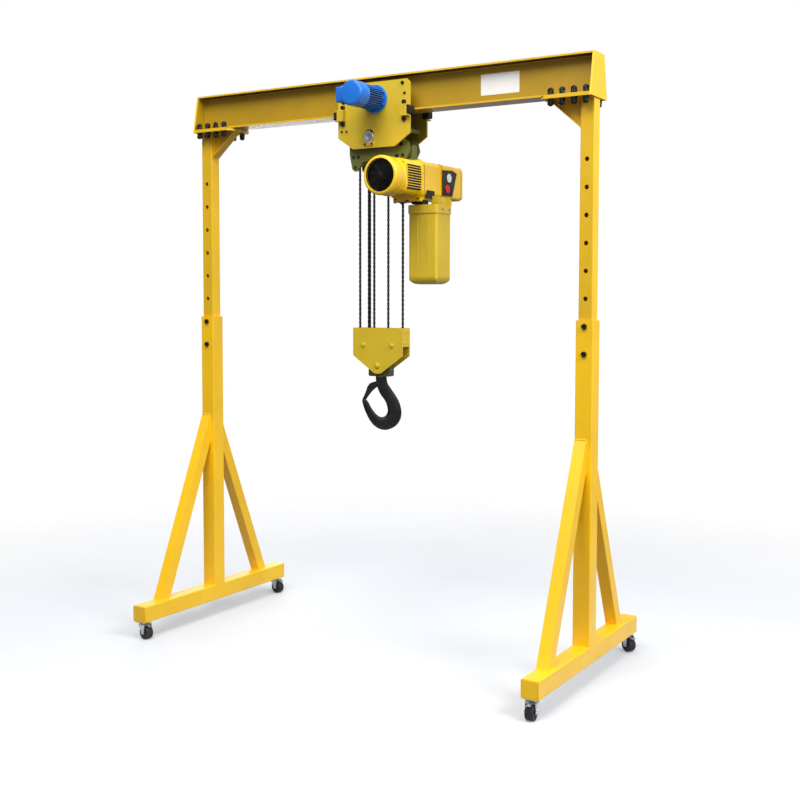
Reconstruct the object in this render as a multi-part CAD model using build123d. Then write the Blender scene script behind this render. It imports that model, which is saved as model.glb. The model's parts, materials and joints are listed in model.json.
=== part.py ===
from build123d import *
import math
import os

os.makedirs("parts", exist_ok=True)

# ---------------------------------------------------------------- driving dimensions (mm)
# X runs along the beam, -Y is the operator's side, Z is up, origin on the floor at mid-span.
POST_X = 1330.0            # centre of each post
RAIL = 100.0               # base rail section
RAIL_LEN = 1420.0
RAIL_BOTTOM = 109.0        # caster height
RAIL_WALL = 6.0
POST = 100.0               # outer telescopic tube
POST_WALL = 8.0
POST_TOP = 2003.0
MAST = 80.0                # inner telescopic tube
MAST_WALL = 6.0
MAST_BOTTOM = 1440.0
MAST_TOP = 3196.0
HOLE_PITCH = 150.0
HOLE_TOP = 2870.0
HOLE_COUNT = 10
HOLE_D = 18.0              # lock bolt holes in the outer tube
MAST_HOLE_D = 26.0         # wider in the mast, so that a bolt finds its hole
LOCK_Z = (1970.0, 1820.0)
BRACE = 70.0               # brace tube section
BRACE_WALL = 5.0
BRACE_FOOT_Y = 530.0
BRACE_HEAD_Z = 1353.0

BEAM_H = 218.0
BEAM_W = 136.0
BEAM_TF = 10.0
BEAM_TW = 8.0
BEAM_HALF = 1380.0
END_T = 12.0
BEAM_BOTTOM = 3216.0
BEAM_TOP = BEAM_BOTTOM + BEAM_H
PAD_HALF = 112.0           # half width of the wide bolting plates
PAD_IN = 1080.0            # inner end of the bolting plates
PAD_CORNER = 24.0
PLATE_T = 10.0
BOLT_X = (1138.0, 1205.0, 1273.0, 1341.0)
BOLT_Y = 92.0
NUT_AF = 30.0
NUT_STACK = 35.0           # washer, nut and lock nut together
BOLT_D = 20.0
GUSSET_DROP = 150.0
GUSSET_REACH = 175.0

TROLLEY_X = 10.0
SIDE_HALF = 250.0
SIDE_TOP = 3392.0
SIDE_KNEE = 3080.0
SIDE_BOTTOM = 3010.0
SIDE_FOOT = 145.0
SIDE_Y = (93.0, 105.0)
DRIVE_X = 25.0             # travel motor axis
AXLE_Z = 3291.0
WHEEL_STEP = 130.0
TREAD_R = 64.5
FLANGE_R = 75.0
GEAR_R = 79.0
PINION_R = 50.0
AXLE_D = 28.0
LOAD_PIN = (-20.0, 3083.0)
LOAD_PIN_D = 72.0

HANGER_Y = (50.0, 62.0)
TOP_SHEAVE = (0.0, 2990.0)
HOIST_PIN = (165.0, 2990.0)
HOIST_X = 205.0
HOIST_Z = 2818.0
COWL_R = 113.0
COWL_Y = (-346.0, -238.0)
MOTOR_Y = (-238.0, -50.0)
GEAR_Y = (-50.0, 170.0)
BOX_Y = (170.0, 445.0)
BUCKET = (200.0, 394.0, -18.0, 152.0)
BUCKET_Z = (2206.0, 2671.0)
BUCKET_FOOT = 46.0
RIM_TALL = 50.0
WALL = 4.0
BUTTON_R = 27.0
BUTTONS = {"button_raise": (252.0, 2846.0), "button_stop": (232.0, 2780.0)}   # Y, Z

FALL_X = (-152.0, -50.0, 50.0, 152.0)
TAIL_X = -101.0
TAIL_Y = (19.2, 31.0)
FALL_D = 11.0
BLOCK_HALF = 175.0
BLOCK_TOP = 1945.0
BLOCK_KNEE = 1777.0
BLOCK_TIP = 1669.0
BLOCK_Y = (37.0, 45.0)
SHEAVE_X = 101.0
SHEAVE_Z = 1841.0
SHEAVE_PITCH_R = 51.0
SHEAVE_RIM_R = 58.0
TRUNNION_Z = 1717.0
HOOK_YAW = 31.0            # the hook's plane, turned about its shank

CASTER_Y = 670.0
CASTER_TRAIL = 24.0
CASTER_R = 42.0
CASTER_W = 48.0
CASTER_HEADING = {"front_left": -10.0, "front_right": -85.0,
                  "back_left": -10.0, "back_right": -30.0}


# ---------------------------------------------------------------- helpers
def box(x0, x1, y0, y1, z0, z1):
    return Pos((x0 + x1) / 2, (y0 + y1) / 2, (z0 + z1) / 2) * Box(
        abs(x1 - x0), abs(y1 - y0), abs(z1 - z0))


def cyl_x(r, x0, x1, y, z):
    return Pos((x0 + x1) / 2, y, z) * Rot(0, 90, 0) * Cylinder(r, abs(x1 - x0))


def cyl_y(r, y0, y1, x, z):
    return Pos(x, (y0 + y1) / 2, z) * Rot(90, 0, 0) * Cylinder(r, abs(y1 - y0))


def cyl_z(r, z0, z1, x, y):
    return Pos(x, y, (z0 + z1) / 2) * Cylinder(r, abs(z1 - z0))


def hexagon_z(across, z0, z1, x, y):
    sketch = RegularPolygon(across / math.sqrt(3), 6)
    return Pos(x, y, z0) * extrude(sketch, z1 - z0)


def hexagon_y(across, y0, y1, x, z):
    sketch = RegularPolygon(across / math.sqrt(3), 6)
    return Pos(x, y1, z) * Rot(90, 0, 0) * extrude(sketch, y1 - y0)


def plate_xz(points, y0, y1):
    """A flat plate whose outline is given as X, Z corners."""
    outline = Plane.XZ * make_face(Polyline(*points, close=True))
    return Pos(0, y1, 0) * extrude(outline, y1 - y0)


def plate_yz(points, x0, x1):
    outline = Plane.YZ * make_face(Polyline(*points, close=True))
    return Pos(x0, 0, 0) * extrude(outline, x1 - x0)


def rounded_bar_y(x0, x1, z0, z1, radius, y0, y1):
    """A bar along Y with a rounded rectangular section."""
    section = RectangleRounded(x1 - x0, z1 - z0, radius)
    return Pos((x0 + x1) / 2, y1, (z0 + z1) / 2) * Rot(90, 0, 0) * extrude(section, y1 - y0)


def rounded_bar_z(x0, x1, y0, y1, radius, z0, z1):
    section = RectangleRounded(x1 - x0, y1 - y0, radius)
    return Pos((x0 + x1) / 2, (y0 + y1) / 2, z0) * extrude(section, z1 - z0)


def join(parts):
    total = parts[0]
    for p in parts[1:]:
        total = total + p
    return total


def save(name, shape):
    export_step(shape, f"parts/{name}.step")


# ---------------------------------------------------------------- legs
def leg_rail(cx):
    half, length = RAIL / 2, RAIL_LEN / 2
    z0, z1 = RAIL_BOTTOM, RAIL_BOTTOM + RAIL
    rail = rounded_bar_y(cx - half, cx + half, z0, z1, 5, -length, length)
    rail -= box(cx - half + RAIL_WALL, cx + half - RAIL_WALL, -length + RAIL_WALL,
                length - RAIL_WALL, z0 + RAIL_WALL, z1 - RAIL_WALL)
    for y in (-580, 580):
        rail -= cyl_z(5, z0 - 1, z0 + RAIL_WALL + 1, cx, y)     # drain holes
    return rail


def leg_post(cx):
    z0 = RAIL_BOTTOM + RAIL
    post = rounded_bar_z(cx - POST / 2, cx + POST / 2, -POST / 2, POST / 2, 5, z0, POST_TOP)
    bore = POST / 2 - POST_WALL
    post -= box(cx - bore, cx + bore, -bore, bore, z0 - 1, POST_TOP + 1)
    for z in LOCK_Z:
        post -= cyl_y(HOLE_D / 2, -POST, POST, cx, z)
    return post


def leg_braces(cx):
    """Two raking tubes, flush with the post's -X face."""
    foot_z = RAIL_BOTTOM + RAIL
    head_y = POST / 2
    rise, run = BRACE_HEAD_Z - foot_z, BRACE_FOOT_Y - head_y
    cut = BRACE * math.hypot(rise, run) / rise
    wall = BRACE_WALL * math.hypot(rise, run) / rise
    slope = rise / run

    def outline(inset):
        outer, inner = BRACE_FOOT_Y - inset, BRACE_FOOT_Y - cut + inset
        return outer, inner, foot_z + (outer - head_y) * slope, foot_z + (inner - head_y) * slope

    x0, x1 = cx - POST / 2, cx - POST / 2 + BRACE
    parts = []
    for s in (-1, 1):
        outer, inner, outer_head, inner_head = outline(0)
        tube = plate_yz([(s * outer, foot_z), (s * inner, foot_z), (s * head_y, inner_head),
                         (s * head_y, outer_head)], x0, x1)
        outer, inner, outer_head, inner_head = outline(wall)
        tube -= plate_yz([(s * (outer + 2), foot_z - 2 * slope), (s * (inner + 2), foot_z - 2 * slope),
                          (s * (head_y - 2), inner_head + 2 * slope),
                          (s * (head_y - 2), outer_head + 2 * slope)],
                         x0 + BRACE_WALL, x1 - BRACE_WALL)
        parts.append(tube)
    return join(parts)


def lock_bolts(cx):
    """Heads in front and nuts behind, with a stub of shank in the outer wall only."""
    face, parts = POST / 2, []
    for z in LOCK_Z:
        for s, across, thick in ((-1, 27, 11), (1, 27, 14)):
            a, b = sorted((s * face, s * (face + 3)))
            parts.append(cyl_y(15, a, b, cx, z) + cyl_y(
                8.6, *sorted((s * (face - POST_WALL + 0.5), s * (face + 4))), cx, z))
            a, b = sorted((s * (face + 3), s * (face + 3 + thick)))
            parts[-1] += hexagon_y(across, a, b, cx, z)
    return join(parts)


def caster_plates(cx):
    parts = []
    for s in (-1, 1):
        plate = box(cx - 36, cx + 36, s * CASTER_Y - 36, s * CASTER_Y + 36, 105, 109)
        plate += cyl_z(23, 99.5, 105, cx, s * CASTER_Y)
        for dx in (-27, 27):
            for dy in (-27, 27):
                plate += hexagon_z(11, 99, 105, cx + dx, s * CASTER_Y + dy)
        parts.append(plate)
    return join(parts)


def caster(name, cx, cy):
    heading = CASTER_HEADING[name]
    place = Pos(cx, cy, 0) * Rot(0, 0, heading)
    t, r, half = CASTER_TRAIL, CASTER_R, CASTER_W / 2
    cheek_in, cheek_out = half + 2.5, half + 6
    fork = cyl_z(25, 93, 99, 0, 0) + box(-18, t + 16, -cheek_out, cheek_out, 89.5, 93.5)
    for s in (-1, 1):
        arm = plate_xz([(-18, 92), (t + 16, 92), (t + 12, r - 6), (t + 6, r - 12), (t - 6, r - 12),
                        (t - 12, r - 6), (-16, 78)], *sorted((s * cheek_in, s * cheek_out)))
        fork += arm
        fork += cyl_y(8, *sorted((s * cheek_out, s * (cheek_out + 5))), t, r)
    fork += cyl_y(5, -cheek_in - 1, cheek_in + 1, t, r)
    fork += box(t + 13, t + 21, -5, 5, 85, 93) + cyl_y(2.2, -13, 13, t + 22, 86.5)
    wheel = cyl_y(r, -half, half, t, r) - cyl_y(5.5, -half - 1, half + 1, t, r)
    wheel = fillet(wheel.edges().filter_by(GeomType.CIRCLE).group_by(lambda e: e.radius)[-1], 8)
    for s in (-1, 1):
        a, b = sorted((s * (half - 3), s * (half + 1)))
        wheel -= cyl_y(27, a, b, t, r) - cyl_y(12, a, b, t, r)
    pedal = box(t + 19, t + 47, -12, -6.5, 83, 90) + box(t + 19, t + 47, 6.5, 12, 83, 90)
    pedal += box(t + 30, t + 50, -12, 12, 87, 90)
    pedal -= cyl_y(2.7, -14, 14, t + 22, 86.5)
    save(f"caster_fork_{name}", place * fork)
    save(f"caster_wheel_{name}", place * wheel)
    save(f"caster_pedal_{name}", place * pedal)


for side, sign in (("left", -1), ("right", 1)):
    save(f"rail_{side}", leg_rail(sign * POST_X))
    save(f"post_{side}", leg_post(sign * POST_X))
    save(f"braces_{side}", leg_braces(sign * POST_X))
    save(f"lock_bolts_{side}", lock_bolts(sign * POST_X))
    save(f"caster_plates_{side}", caster_plates(sign * POST_X))
    for end, s in (("front", -1), ("back", 1)):
        caster(f"{end}_{side}", sign * POST_X, s * CASTER_Y)


# ---------------------------------------------------------------- beam and masts
def pad_outline(x_out):
    side = PAD_HALF - PAD_CORNER
    return [(x_out, -PAD_HALF), (PAD_IN + PAD_CORNER, -PAD_HALF), (PAD_IN, -side),
            (PAD_IN, side), (PAD_IN + PAD_CORNER, PAD_HALF), (x_out, PAD_HALF)]


def pad(x_out, z0, z1):
    plate = Pos(0, 0, z0) * extrude(make_face(Polyline(*pad_outline(x_out), close=True)), z1 - z0)
    for x in BOLT_X:
        for y in (-BOLT_Y, BOLT_Y):
            plate -= cyl_z(BOLT_D / 2 + 1, z0 - 1, z1 + 1, x, y)
    return plate


def beam():
    half = BEAM_HALF - END_T
    z0, z1 = BEAM_BOTTOM, BEAM_TOP
    shape = box(-half, half, -BEAM_W / 2, BEAM_W / 2, z0, z0 + BEAM_TF)
    shape += box(-half, half, -BEAM_W / 2, BEAM_W / 2, z1 - BEAM_TF, z1)
    shape += box(-half, half, -BEAM_TW / 2, BEAM_TW / 2, z0, z1)
    root = [e for e in shape.edges().filter_by(Axis.X)
            if abs(abs(e.center().Y) - BEAM_TW / 2) < 0.1]
    shape = fillet(root, 9)
    end = plate_yz([(-70, z1), (70, z1), (PAD_HALF, MAST_TOP), (-PAD_HALF, MAST_TOP)],
                   half, BEAM_HALF)
    end += pad(half, BEAM_BOTTOM - PLATE_T, BEAM_BOTTOM)
    return shape + end + mirror(end, about=Plane.YZ)


def mast():
    """The right-hand mast: tube, cap plate and gusset welded together."""
    half = MAST / 2
    tube = rounded_bar_z(POST_X - half, POST_X + half, -half, half, 5, MAST_BOTTOM, MAST_TOP)
    bore = half - MAST_WALL
    tube -= box(POST_X - bore, POST_X + bore, -bore, bore, MAST_BOTTOM - 1, MAST_TOP + 1)
    for k in range(HOLE_COUNT):
        tube -= cyl_y(MAST_HOLE_D / 2, -MAST, MAST, POST_X, HOLE_TOP - k * HOLE_PITCH)
    cap = pad(BEAM_HALF - END_T, MAST_TOP, MAST_TOP + PLATE_T)
    face = POST_X - half
    low = (face, MAST_TOP - GUSSET_DROP)
    tip = (face - GUSSET_REACH, MAST_TOP)
    web = plate_xz([(face - 14, MAST_TOP), (face, MAST_TOP - 14), low, tip], -5, 5)
    length = math.hypot(GUSSET_REACH, GUSSET_DROP)
    nx, nz = -GUSSET_DROP / length * 8, -GUSSET_REACH / length * 8
    strip = plate_xz([low, tip, (tip[0] + nx * MAST_TOP / MAST_TOP, MAST_TOP),
                      (tip[0] + nx - 2, MAST_TOP), (face, low[1] + nz * 1.5)], -34, 34)
    return tube + cap + web + strip


def flange_bolts():
    """Studs with a washer, a nut and a lock nut above and below the plates."""
    z0, z1 = MAST_TOP, BEAM_BOTTOM
    washer = 3
    parts = []
    for s in (-1, 1):
        for x in BOLT_X:
            for y in (-BOLT_Y, BOLT_Y):
                b = cyl_z(BOLT_D / 2, z0 - NUT_STACK - 4, z1 + NUT_STACK + 4, s * x, y)
                for low, high in ((z1, z1 + washer), (z0 - washer, z0)):
                    b += cyl_z(18, low, high, s * x, y)
                b += hexagon_z(NUT_AF, z1 + washer, z1 + NUT_STACK, s * x, y)
                b += hexagon_z(NUT_AF, z0 - NUT_STACK, z0 - washer, s * x, y)
                parts.append(b)
    return Compound(children=parts)


save("beam", beam())
mast_right = mast()
save("mast_right", mast_right)
save("mast_left", mirror(mast_right, about=Plane.YZ))
save("flange_bolts", flange_bolts())
save("placard", box(670, 910, -BEAM_TW / 2 - 2, -BEAM_TW / 2, 3267, 3385))


# ---------------------------------------------------------------- trolley
def side_plate(s):
    c, h = TROLLEY_X, SIDE_HALF
    y0, y1 = sorted((s * SIDE_Y[0], s * SIDE_Y[1]))
    plate = plate_xz([(c - h, SIDE_TOP - 22), (c - h + 22, SIDE_TOP), (c + h - 22, SIDE_TOP),
                      (c + h, SIDE_TOP - 22), (c + h, SIDE_KNEE), (c + SIDE_FOOT, SIDE_BOTTOM),
                      (c - SIDE_FOOT, SIDE_BOTTOM), (c - h, SIDE_KNEE)], y0, y1)
    plate -= cyl_y(LOAD_PIN_D / 2 + 0.5, y0 - 1, y1 + 1, *LOAD_PIN)
    for e in (-1, 1):
        plate -= box(*sorted((c + e * 194, c + e * 260)), y0 - 1, y1 + 1, 3183, 3237)
        web = box(*sorted((c + e * 198, c + e * 226)), *sorted((s * 105, s * 135)), 3180, 3240)
        jaws = box(*sorted((c + e * 198, c + e * 256)), *sorted((s * 105, s * 135)), 3237, 3243)
        jaws += box(*sorted((c + e * 198, c + e * 256)), *sorted((s * 105, s * 135)), 3177, 3183)
        plate += web + jaws
        for z in (3259, 3162):
            plate += hexagon_y(22, *sorted((s * 105, s * 115)), c + e * 214, z)
    for x, z, r in ((211, 3370, 9), (226, 3310, 6), (-205, 3370, 9), (-213, 3118, 5), (-179, 3117, 5)):
        plate += cyl_y(r, *sorted((s * 105, s * 110)), x, z)
    return plate


def buffers():
    """Rubber buffers at the four corners, held in the notches of the side plates."""
    parts = []
    for e in (-1, 1):
        for s in (-1, 1):
            x0, x1 = sorted((TROLLEY_X + e * 228, TROLLEY_X + e * 268))
            rear = sorted((TROLLEY_X + e * 226, TROLLEY_X + e * 228))
            b = box(x0, x1, *sorted((s * 78, s * 132)), 3186, 3234)
            b += cyl_x(16, *rear, s * 105, 3210)
            parts.append(b)
    return Compound(children=parts)


def trolley_pins():
    parts = []
    for e in (-1, 1):
        for s in (-1, 1):
            x = DRIVE_X + e * WHEEL_STEP
            a = cyl_y(AXLE_D / 2, *sorted((s * 30, s * 93)), x, AXLE_Z)
            a += cyl_y(19, *sorted((s * 26, s * 33)), x, AXLE_Z)
            a += cyl_y(20, *sorted((s * 91, s * 93)), x, AXLE_Z)
            parts.append(a)
        parts.append(cyl_y(14, -93, 93, TROLLEY_X + e * 190, 3110))
    return Compound(children=parts)


def load_pin():
    x, z = LOAD_PIN
    pin = cyl_y(LOAD_PIN_D / 2, -116, 116, x, z)
    pin -= box(x - 40, x + 40, -117, -105, z - 40, z - 27)
    pin -= box(x - 40, x + 40, 105, 117, z - 40, z - 27)
    keepers = []
    for s in (-1, 1):
        k = box(x - 34, x + 34, *sorted((s * 105, s * 111)), z - 52, z - 27.5)
        for dx in (-24, 24):
            k += cyl_y(5, *sorted((s * 111, s * 115)), x + dx, z - 42)
        keepers.append(k)
    return Compound(children=[pin] + keepers)


def hanger():
    """Two shaped cheeks on the load pin, joined by a chain anchor block and the hoist's lug plates."""
    outline = [(-186, 3060), (-186, 2982), (-168, 2898), (-152, 2884), (-134, 2884), (-118, 2904),
               (-92, 2936), (-40, 2944), (112, 2944), (165, 2932), (212, 2942), (235, 2990),
               (224, 3036), (190, 3058), (150, 3062), (90, 3112), (20, 3140), (-70, 3140),
               (-130, 3112)]
    parts = []
    for s in (-1, 1):
        cheek = plate_xz(outline, *sorted((s * HANGER_Y[0], s * HANGER_Y[1])))
        cheek -= cyl_y(LOAD_PIN_D / 2 + 0.5, -70, 70, *LOAD_PIN)
        for x, z in ((-157, 2968), (-122, 2968), (-143, 2908)):
            cheek += cyl_y(8, *sorted((s * 62, s * 66)), x, z)
        for x, z in ((178, 3028), (150, 2960), (190, 2962)):
            cheek += cyl_y(9, *sorted((s * 62, s * 67)), x, z)
        parts.append(cheek)
        parts.append(cyl_y(58, *sorted((s * 30, s * 50)), *HOIST_PIN))
    parts.append(cyl_y(15, -51, 51, *TOP_SHEAVE))
    for s in (-1, 1):
        parts.append(cyl_y(24, *sorted((s * 14, s * 50)), *TOP_SHEAVE))
    anchor = box(-176, -86, -50, 50, 2926, 2986)
    parts.append(anchor)
    lugs = box(138, 232, -30, 30, 2936, 3020) + box(120, 250, -44, 44, 2928, 2940)
    parts.append(lugs)
    return join(parts)


def travel_motor():
    x, z = DRIVE_X, AXLE_Z
    m = cyl_y(82, -118, -105, x, z) + cyl_y(60, -285, -118, x, z)
    m += cyl_y(73, -373, -280, x, z)
    m = fillet(m.edges().filter_by(GeomType.CIRCLE).sort_by(Axis.Y)[0], 12)
    for k in range(6):
        a = math.radians(60 * k + 30)
        m += cyl_y(6, -124, -118, x + 72 * math.cos(a), z + 72 * math.sin(a))
    for k in range(20):
        a = 18 * k
        fin = Pos(x, 0, z) * Rot(0, a, 0) * box(55, 70, -280, -122, -1.6, 1.6)
        m += fin
    return m


def travel_box():
    x, z = DRIVE_X, AXLE_Z
    b = box(x - 118, x - 62, -345, -262, z - 42, z + 46)
    b = fillet(b.edges(), 4)
    b += box(x - 66, x - 48, -330, -285, z - 24, z + 24)
    b += cyl_z(9, z - 54, z - 40, x - 92, -305)
    b -= cyl_y(70.5, -281, -118, x, z) + cyl_y(73.3, -380, -279, x, z)
    return b


def trolley_wheel(e, s):
    x = DRIVE_X + e * WHEEL_STEP
    rim = GEAR_R if s < 0 else 70
    w = cyl_y(TREAD_R, *sorted((s * 36, s * 71)), x, AXLE_Z)
    w += cyl_y(FLANGE_R, *sorted((s * 70, s * 80)), x, AXLE_Z)
    w += cyl_y(rim, *sorted((s * 79, s * 89)), x, AXLE_Z)
    w -= cyl_y(AXLE_D / 2 + 0.4, -100, 100, x, AXLE_Z)
    w -= cyl_y(44, *sorted((s * 30, s * 42)), x, AXLE_Z) - cyl_y(22, *sorted((s * 30, s * 42)), x, AXLE_Z)
    return w


save("side_plate_front", side_plate(-1))
save("side_plate_back", side_plate(1))
save("buffers", buffers())
save("trolley_pins", trolley_pins())
save("load_pin", load_pin())
save("hanger", hanger())
save("travel_motor", travel_motor())
save("travel_terminal_box", travel_box())
for e, end in ((-1, "left"), (1, "right")):
    for s, row in ((-1, "front"), (1, "back")):
        save(f"trolley_wheel_{row}_{end}", trolley_wheel(e, s))
pinion = cyl_y(PINION_R, -89, -80.5, DRIVE_X, AXLE_Z) + cyl_y(12, -92.5, -76, DRIVE_X, AXLE_Z)
save("drive_pinion", pinion)


# ---------------------------------------------------------------- sheaves
def sheave(x, z, y_half, bore):
    wheel = cyl_y(SHEAVE_RIM_R, -y_half, y_half, x, z)
    groove = cyl_y(SHEAVE_RIM_R + 1, -6, 6, x, z) - cyl_y(SHEAVE_PITCH_R - 6.5, -6, 6, x, z)
    wheel -= groove
    wheel -= cyl_y(bore, -y_half - 1, y_half + 1, x, z)
    return wheel


save("top_sheave", sheave(*TOP_SHEAVE, 13, 15.5))
save("block_sheave_left", sheave(-SHEAVE_X, SHEAVE_Z, 13, 12.5))
save("block_sheave_right", sheave(SHEAVE_X, SHEAVE_Z, 13, 12.5))


# ---------------------------------------------------------------- hoist
hx0, hx1 = HOIST_X - 110, HOIST_X + 110
hz0, hz1 = HOIST_Z - 98, HOIST_Z + 104


def fan_cowl():
    y0, y1 = COWL_Y
    c = cyl_y(COWL_R, y0, y1, HOIST_X, HOIST_Z)
    c = fillet(c.edges().filter_by(GeomType.CIRCLE).sort_by(Axis.Y)[0], 14)
    c -= cyl_y(94.5, y0 - 1, y0 + 12, HOIST_X, HOIST_Z)
    c -= cyl_y(90, y0 - 1, y1 - 8, HOIST_X, HOIST_Z)
    return c


def motor_housing():
    y0, y1 = MOTOR_Y
    h = rounded_bar_y(hx0, hx1, hz0, hz1, 48, y0, y1)
    for k in range(10):
        z = HOIST_Z - 66 + k * 14.5
        for s in (-1, 1):
            x = HOIST_X + s * 110
            h -= box(*sorted((x - s * 9, x + s * 5)), y0 + 18, y1 - 14, z - 4, z + 4)
    for k in range(9):
        x = HOIST_X - 58 + k * 14.5
        h -= box(x - 4, x + 4, y0 + 18, y1 - 14, hz0 - 5, hz0 + 9)
    for x in (HOIST_X - 92, HOIST_X + 92):
        for z in (HOIST_Z - 79, HOIST_Z + 85):
            h += cyl_y(5, y0 - 5, y0 + 2, x, z)
    return h


def gear_housing():
    y0, y1 = GEAR_Y
    g = rounded_bar_y(hx0 + 4, hx1 - 4, hz0 - 4, hz1 + 3, 30, y0, y1)
    g += rounded_bar_y(hx0 - 3, hx1 + 3, hz0 - 9, hz1 + 6, 34, y0, y0 + 16)
    guide = box(112, 296, -46, 46, 2690, hz0 + 2)
    guide -= box(186, 222, -47, 47, 2688, 2700)
    g += guide + box(226, 296, -16, 44, 2677, 2694)
    g -= box(136, 170, -17, 17, 2680, 2850)
    g -= box(240, 274, -17, 17, 2675, 2850)
    g -= box(130, 276, -17, 17, 2760, 2868)
    return g


def control_box():
    y0, y1 = BOX_Y
    b = rounded_bar_y(hx0 - 1, hx1 + 3, hz0 + 3, hz1, 18, y0, y1 - 30)
    b += rounded_bar_y(hx0 + 4, hx1 - 2, hz0 + 8, hz1 - 5, 22, y1 - 30, y1)
    b += cyl_z(13, hz0 - 12, hz0 + 4, HOIST_X - 40, y1 - 70)
    b -= box(hx1 - 14, hx1 + 5, 200, 284, 2748, 2878)
    return b


def control_panel():
    face = hx1 + 3
    p = plate_yz([(178, 2736), (298, 2740), (352, 2882), (298, 2896), (178, 2888)], face, face + 5)
    for y, z in BUTTONS.values():
        p -= cyl_x(BUTTON_R + 1, face - 1, face + 6, y, z)
    return p


save("hoist_fan_cowl", fan_cowl())
grille = cyl_y(93.5, COWL_Y[0] + 3, COWL_Y[0] + 9, HOIST_X, HOIST_Z)
save("hoist_fan_grille", grille + cyl_y(30, COWL_Y[0] + 1, COWL_Y[0] + 9, HOIST_X, HOIST_Z))
save("hoist_motor_housing", motor_housing())
save("hoist_gear_housing", gear_housing())
save("hoist_control_box", control_box())
save("control_panel", control_panel())
for name, (y, z) in BUTTONS.items():
    save(name, cyl_x(BUTTON_R, hx1 - 2, hx1 + 14, y, z))


def load_sprocket():
    """The driving sprocket inside the gear housing."""
    s = cyl_y(46, -12, 12, HOIST_X, HOIST_Z - 4)
    s += cyl_y(14, -16, 16, HOIST_X, HOIST_Z - 4)
    return s


save("load_sprocket", load_sprocket())


def deep_pan(x0, x1, y0, y1, corner, z0, z1):
    """A block with upright corner radii and large radii along its bottom edges."""
    w, d, h = x1 - x0, y1 - y0, z1 - z0
    cx, cy = (x0 + x1) / 2, (y0 + y1) / 2
    front = Plane.XZ * RectangleRounded(w, 2 * h, BUCKET_FOOT)
    side = Plane.YZ * RectangleRounded(d, 2 * h, BUCKET_FOOT)
    block = rounded_bar_z(x0, x1, y0, y1, corner, z0, z1)
    block &= Pos(cx, y1 + 5, z1) * extrude(front, d + 10)
    block &= Pos(x0 - 5, cy, z1) * extrude(side, w + 10)
    return block


def chain_bucket():
    """Deep pan with a broad rim and a bracket that hangs it from the gear housing."""
    x0, x1, y0, y1 = BUCKET
    z0, z1 = BUCKET_Z
    b = deep_pan(x0, x1, y0, y1, 16, z0, z1)
    b += rounded_bar_z(x0 - 5, x1 + 5, y0 - 5, y1 + 5, 18, z1 - RIM_TALL, z1)
    inner = deep_pan(x0 + WALL, x1 - WALL, y0 + WALL, y1 - WALL, 12, z0 + WALL, z1 + 1)
    b -= inner
    arm = box(318.5, 330, 60, 150, z1 - 30, 2726) + box(312, 330, 60, 150, z1 - 30, 2704)
    b += arm - inner
    for y in (60, 142):
        b += plate_xz([(318.5, z1 - 1), (x1 + 5, z1 - 1), (x1 + 5, 2702), (x1 - 12, 2716),
                       (330, 2726), (318.5, 2726)], y, y + 8)
    return b


save("chain_bucket", chain_bucket())

# ---------------------------------------------------------------- chain
falls = [cyl_z(FALL_D / 2, SHEAVE_Z, top, x, 0)
         for x, top in zip(FALL_X, (2925, TOP_SHEAVE[1], TOP_SHEAVE[1], 2800))]
falls += [cyl_z(FALL_D / 2, SHEAVE_Z + 19.5, 2925, TAIL_X, y) for y in TAIL_Y]
save("chain_falls", Compound(children=falls))
slack = cyl_z(FALL_D / 2, 2430, 2800, 257, 0)
slack += deep_pan(BUCKET[0] + 8, BUCKET[1] - 8, BUCKET[2] + 8, BUCKET[3] - 8, 10,
                  BUCKET_Z[0] + 8, 2432)
save("slack_chain", slack)


# ---------------------------------------------------------------- hook block
def block_frame():
    outline = [(-BLOCK_HALF, BLOCK_KNEE), (-28, BLOCK_TIP + 5), (-12, BLOCK_TIP), (12, BLOCK_TIP),
               (28, BLOCK_TIP + 5), (BLOCK_HALF, BLOCK_KNEE), (BLOCK_HALF, BLOCK_TOP),
               (-BLOCK_HALF, BLOCK_TOP)]
    parts = []
    for s in (-1, 1):
        p = plate_xz(outline, *sorted((s * BLOCK_Y[0], s * BLOCK_Y[1])))
        p -= cyl_y(15.5, -60, 60, 0, TRUNNION_Z)
        parts.append(p)
        parts.append(box(*sorted((s * (BLOCK_HALF - 9), s * BLOCK_HALF)), -37.5, 37.5,
                         BLOCK_TOP - 112, BLOCK_TOP))
    return join(parts)


def sheave_pins():
    parts = []
    for x in (-SHEAVE_X, SHEAVE_X):
        p = cyl_y(12, -45, 45, x, SHEAVE_Z)
        for s in (-1, 1):
            p += cyl_y(14, *sorted((s * 45, s * 50)), x, SHEAVE_Z)
            spacer = (14, 37) if x > 0 or s < 0 else (14, 17.5)
            p += cyl_y(19, *sorted((s * spacer[0], s * spacer[1])), x, SHEAVE_Z)
        parts.append(p)
    return parts


frame = block_frame()
pins = Compound(children=sheave_pins())
for x in (-SHEAVE_X, SHEAVE_X):
    frame -= cyl_y(12, -46, 46, x, SHEAVE_Z)
save("block_frame", frame)
save("block_sheave_pins", pins)

# The crosshead carries the hook's shank between the cheeks and rocks on its two trunnions.
crosshead = box(-72, 72, -30, 30, 1652, 1734)
crosshead = fillet(crosshead.edges().filter_by(Axis.Y), 10)
crosshead += cyl_y(15, -50, 50, 0, TRUNNION_Z) - cyl_z(21, 1600, 1760, 0, 0)
crosshead -= cyl_z(21, 1640, 1760, 0, 0)
save("crosshead", crosshead)

# Hook outline in its own plane: distance from the shank's centre line, height.
HOOK_OUT = [(37, 1612), (75, 1555), (110, 1500), (124, 1440), (116, 1388), (84, 1345), (28, 1322),
            (-18, 1334), (-62, 1372), (-98, 1440), (-119, 1508)]
HOOK_IN = [(-80, 1496), (-66, 1462), (-34, 1422), (4, 1402), (30, 1416), (42, 1455), (30, 1500),
           (-2, 1530), (-34, 1580)]


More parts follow.
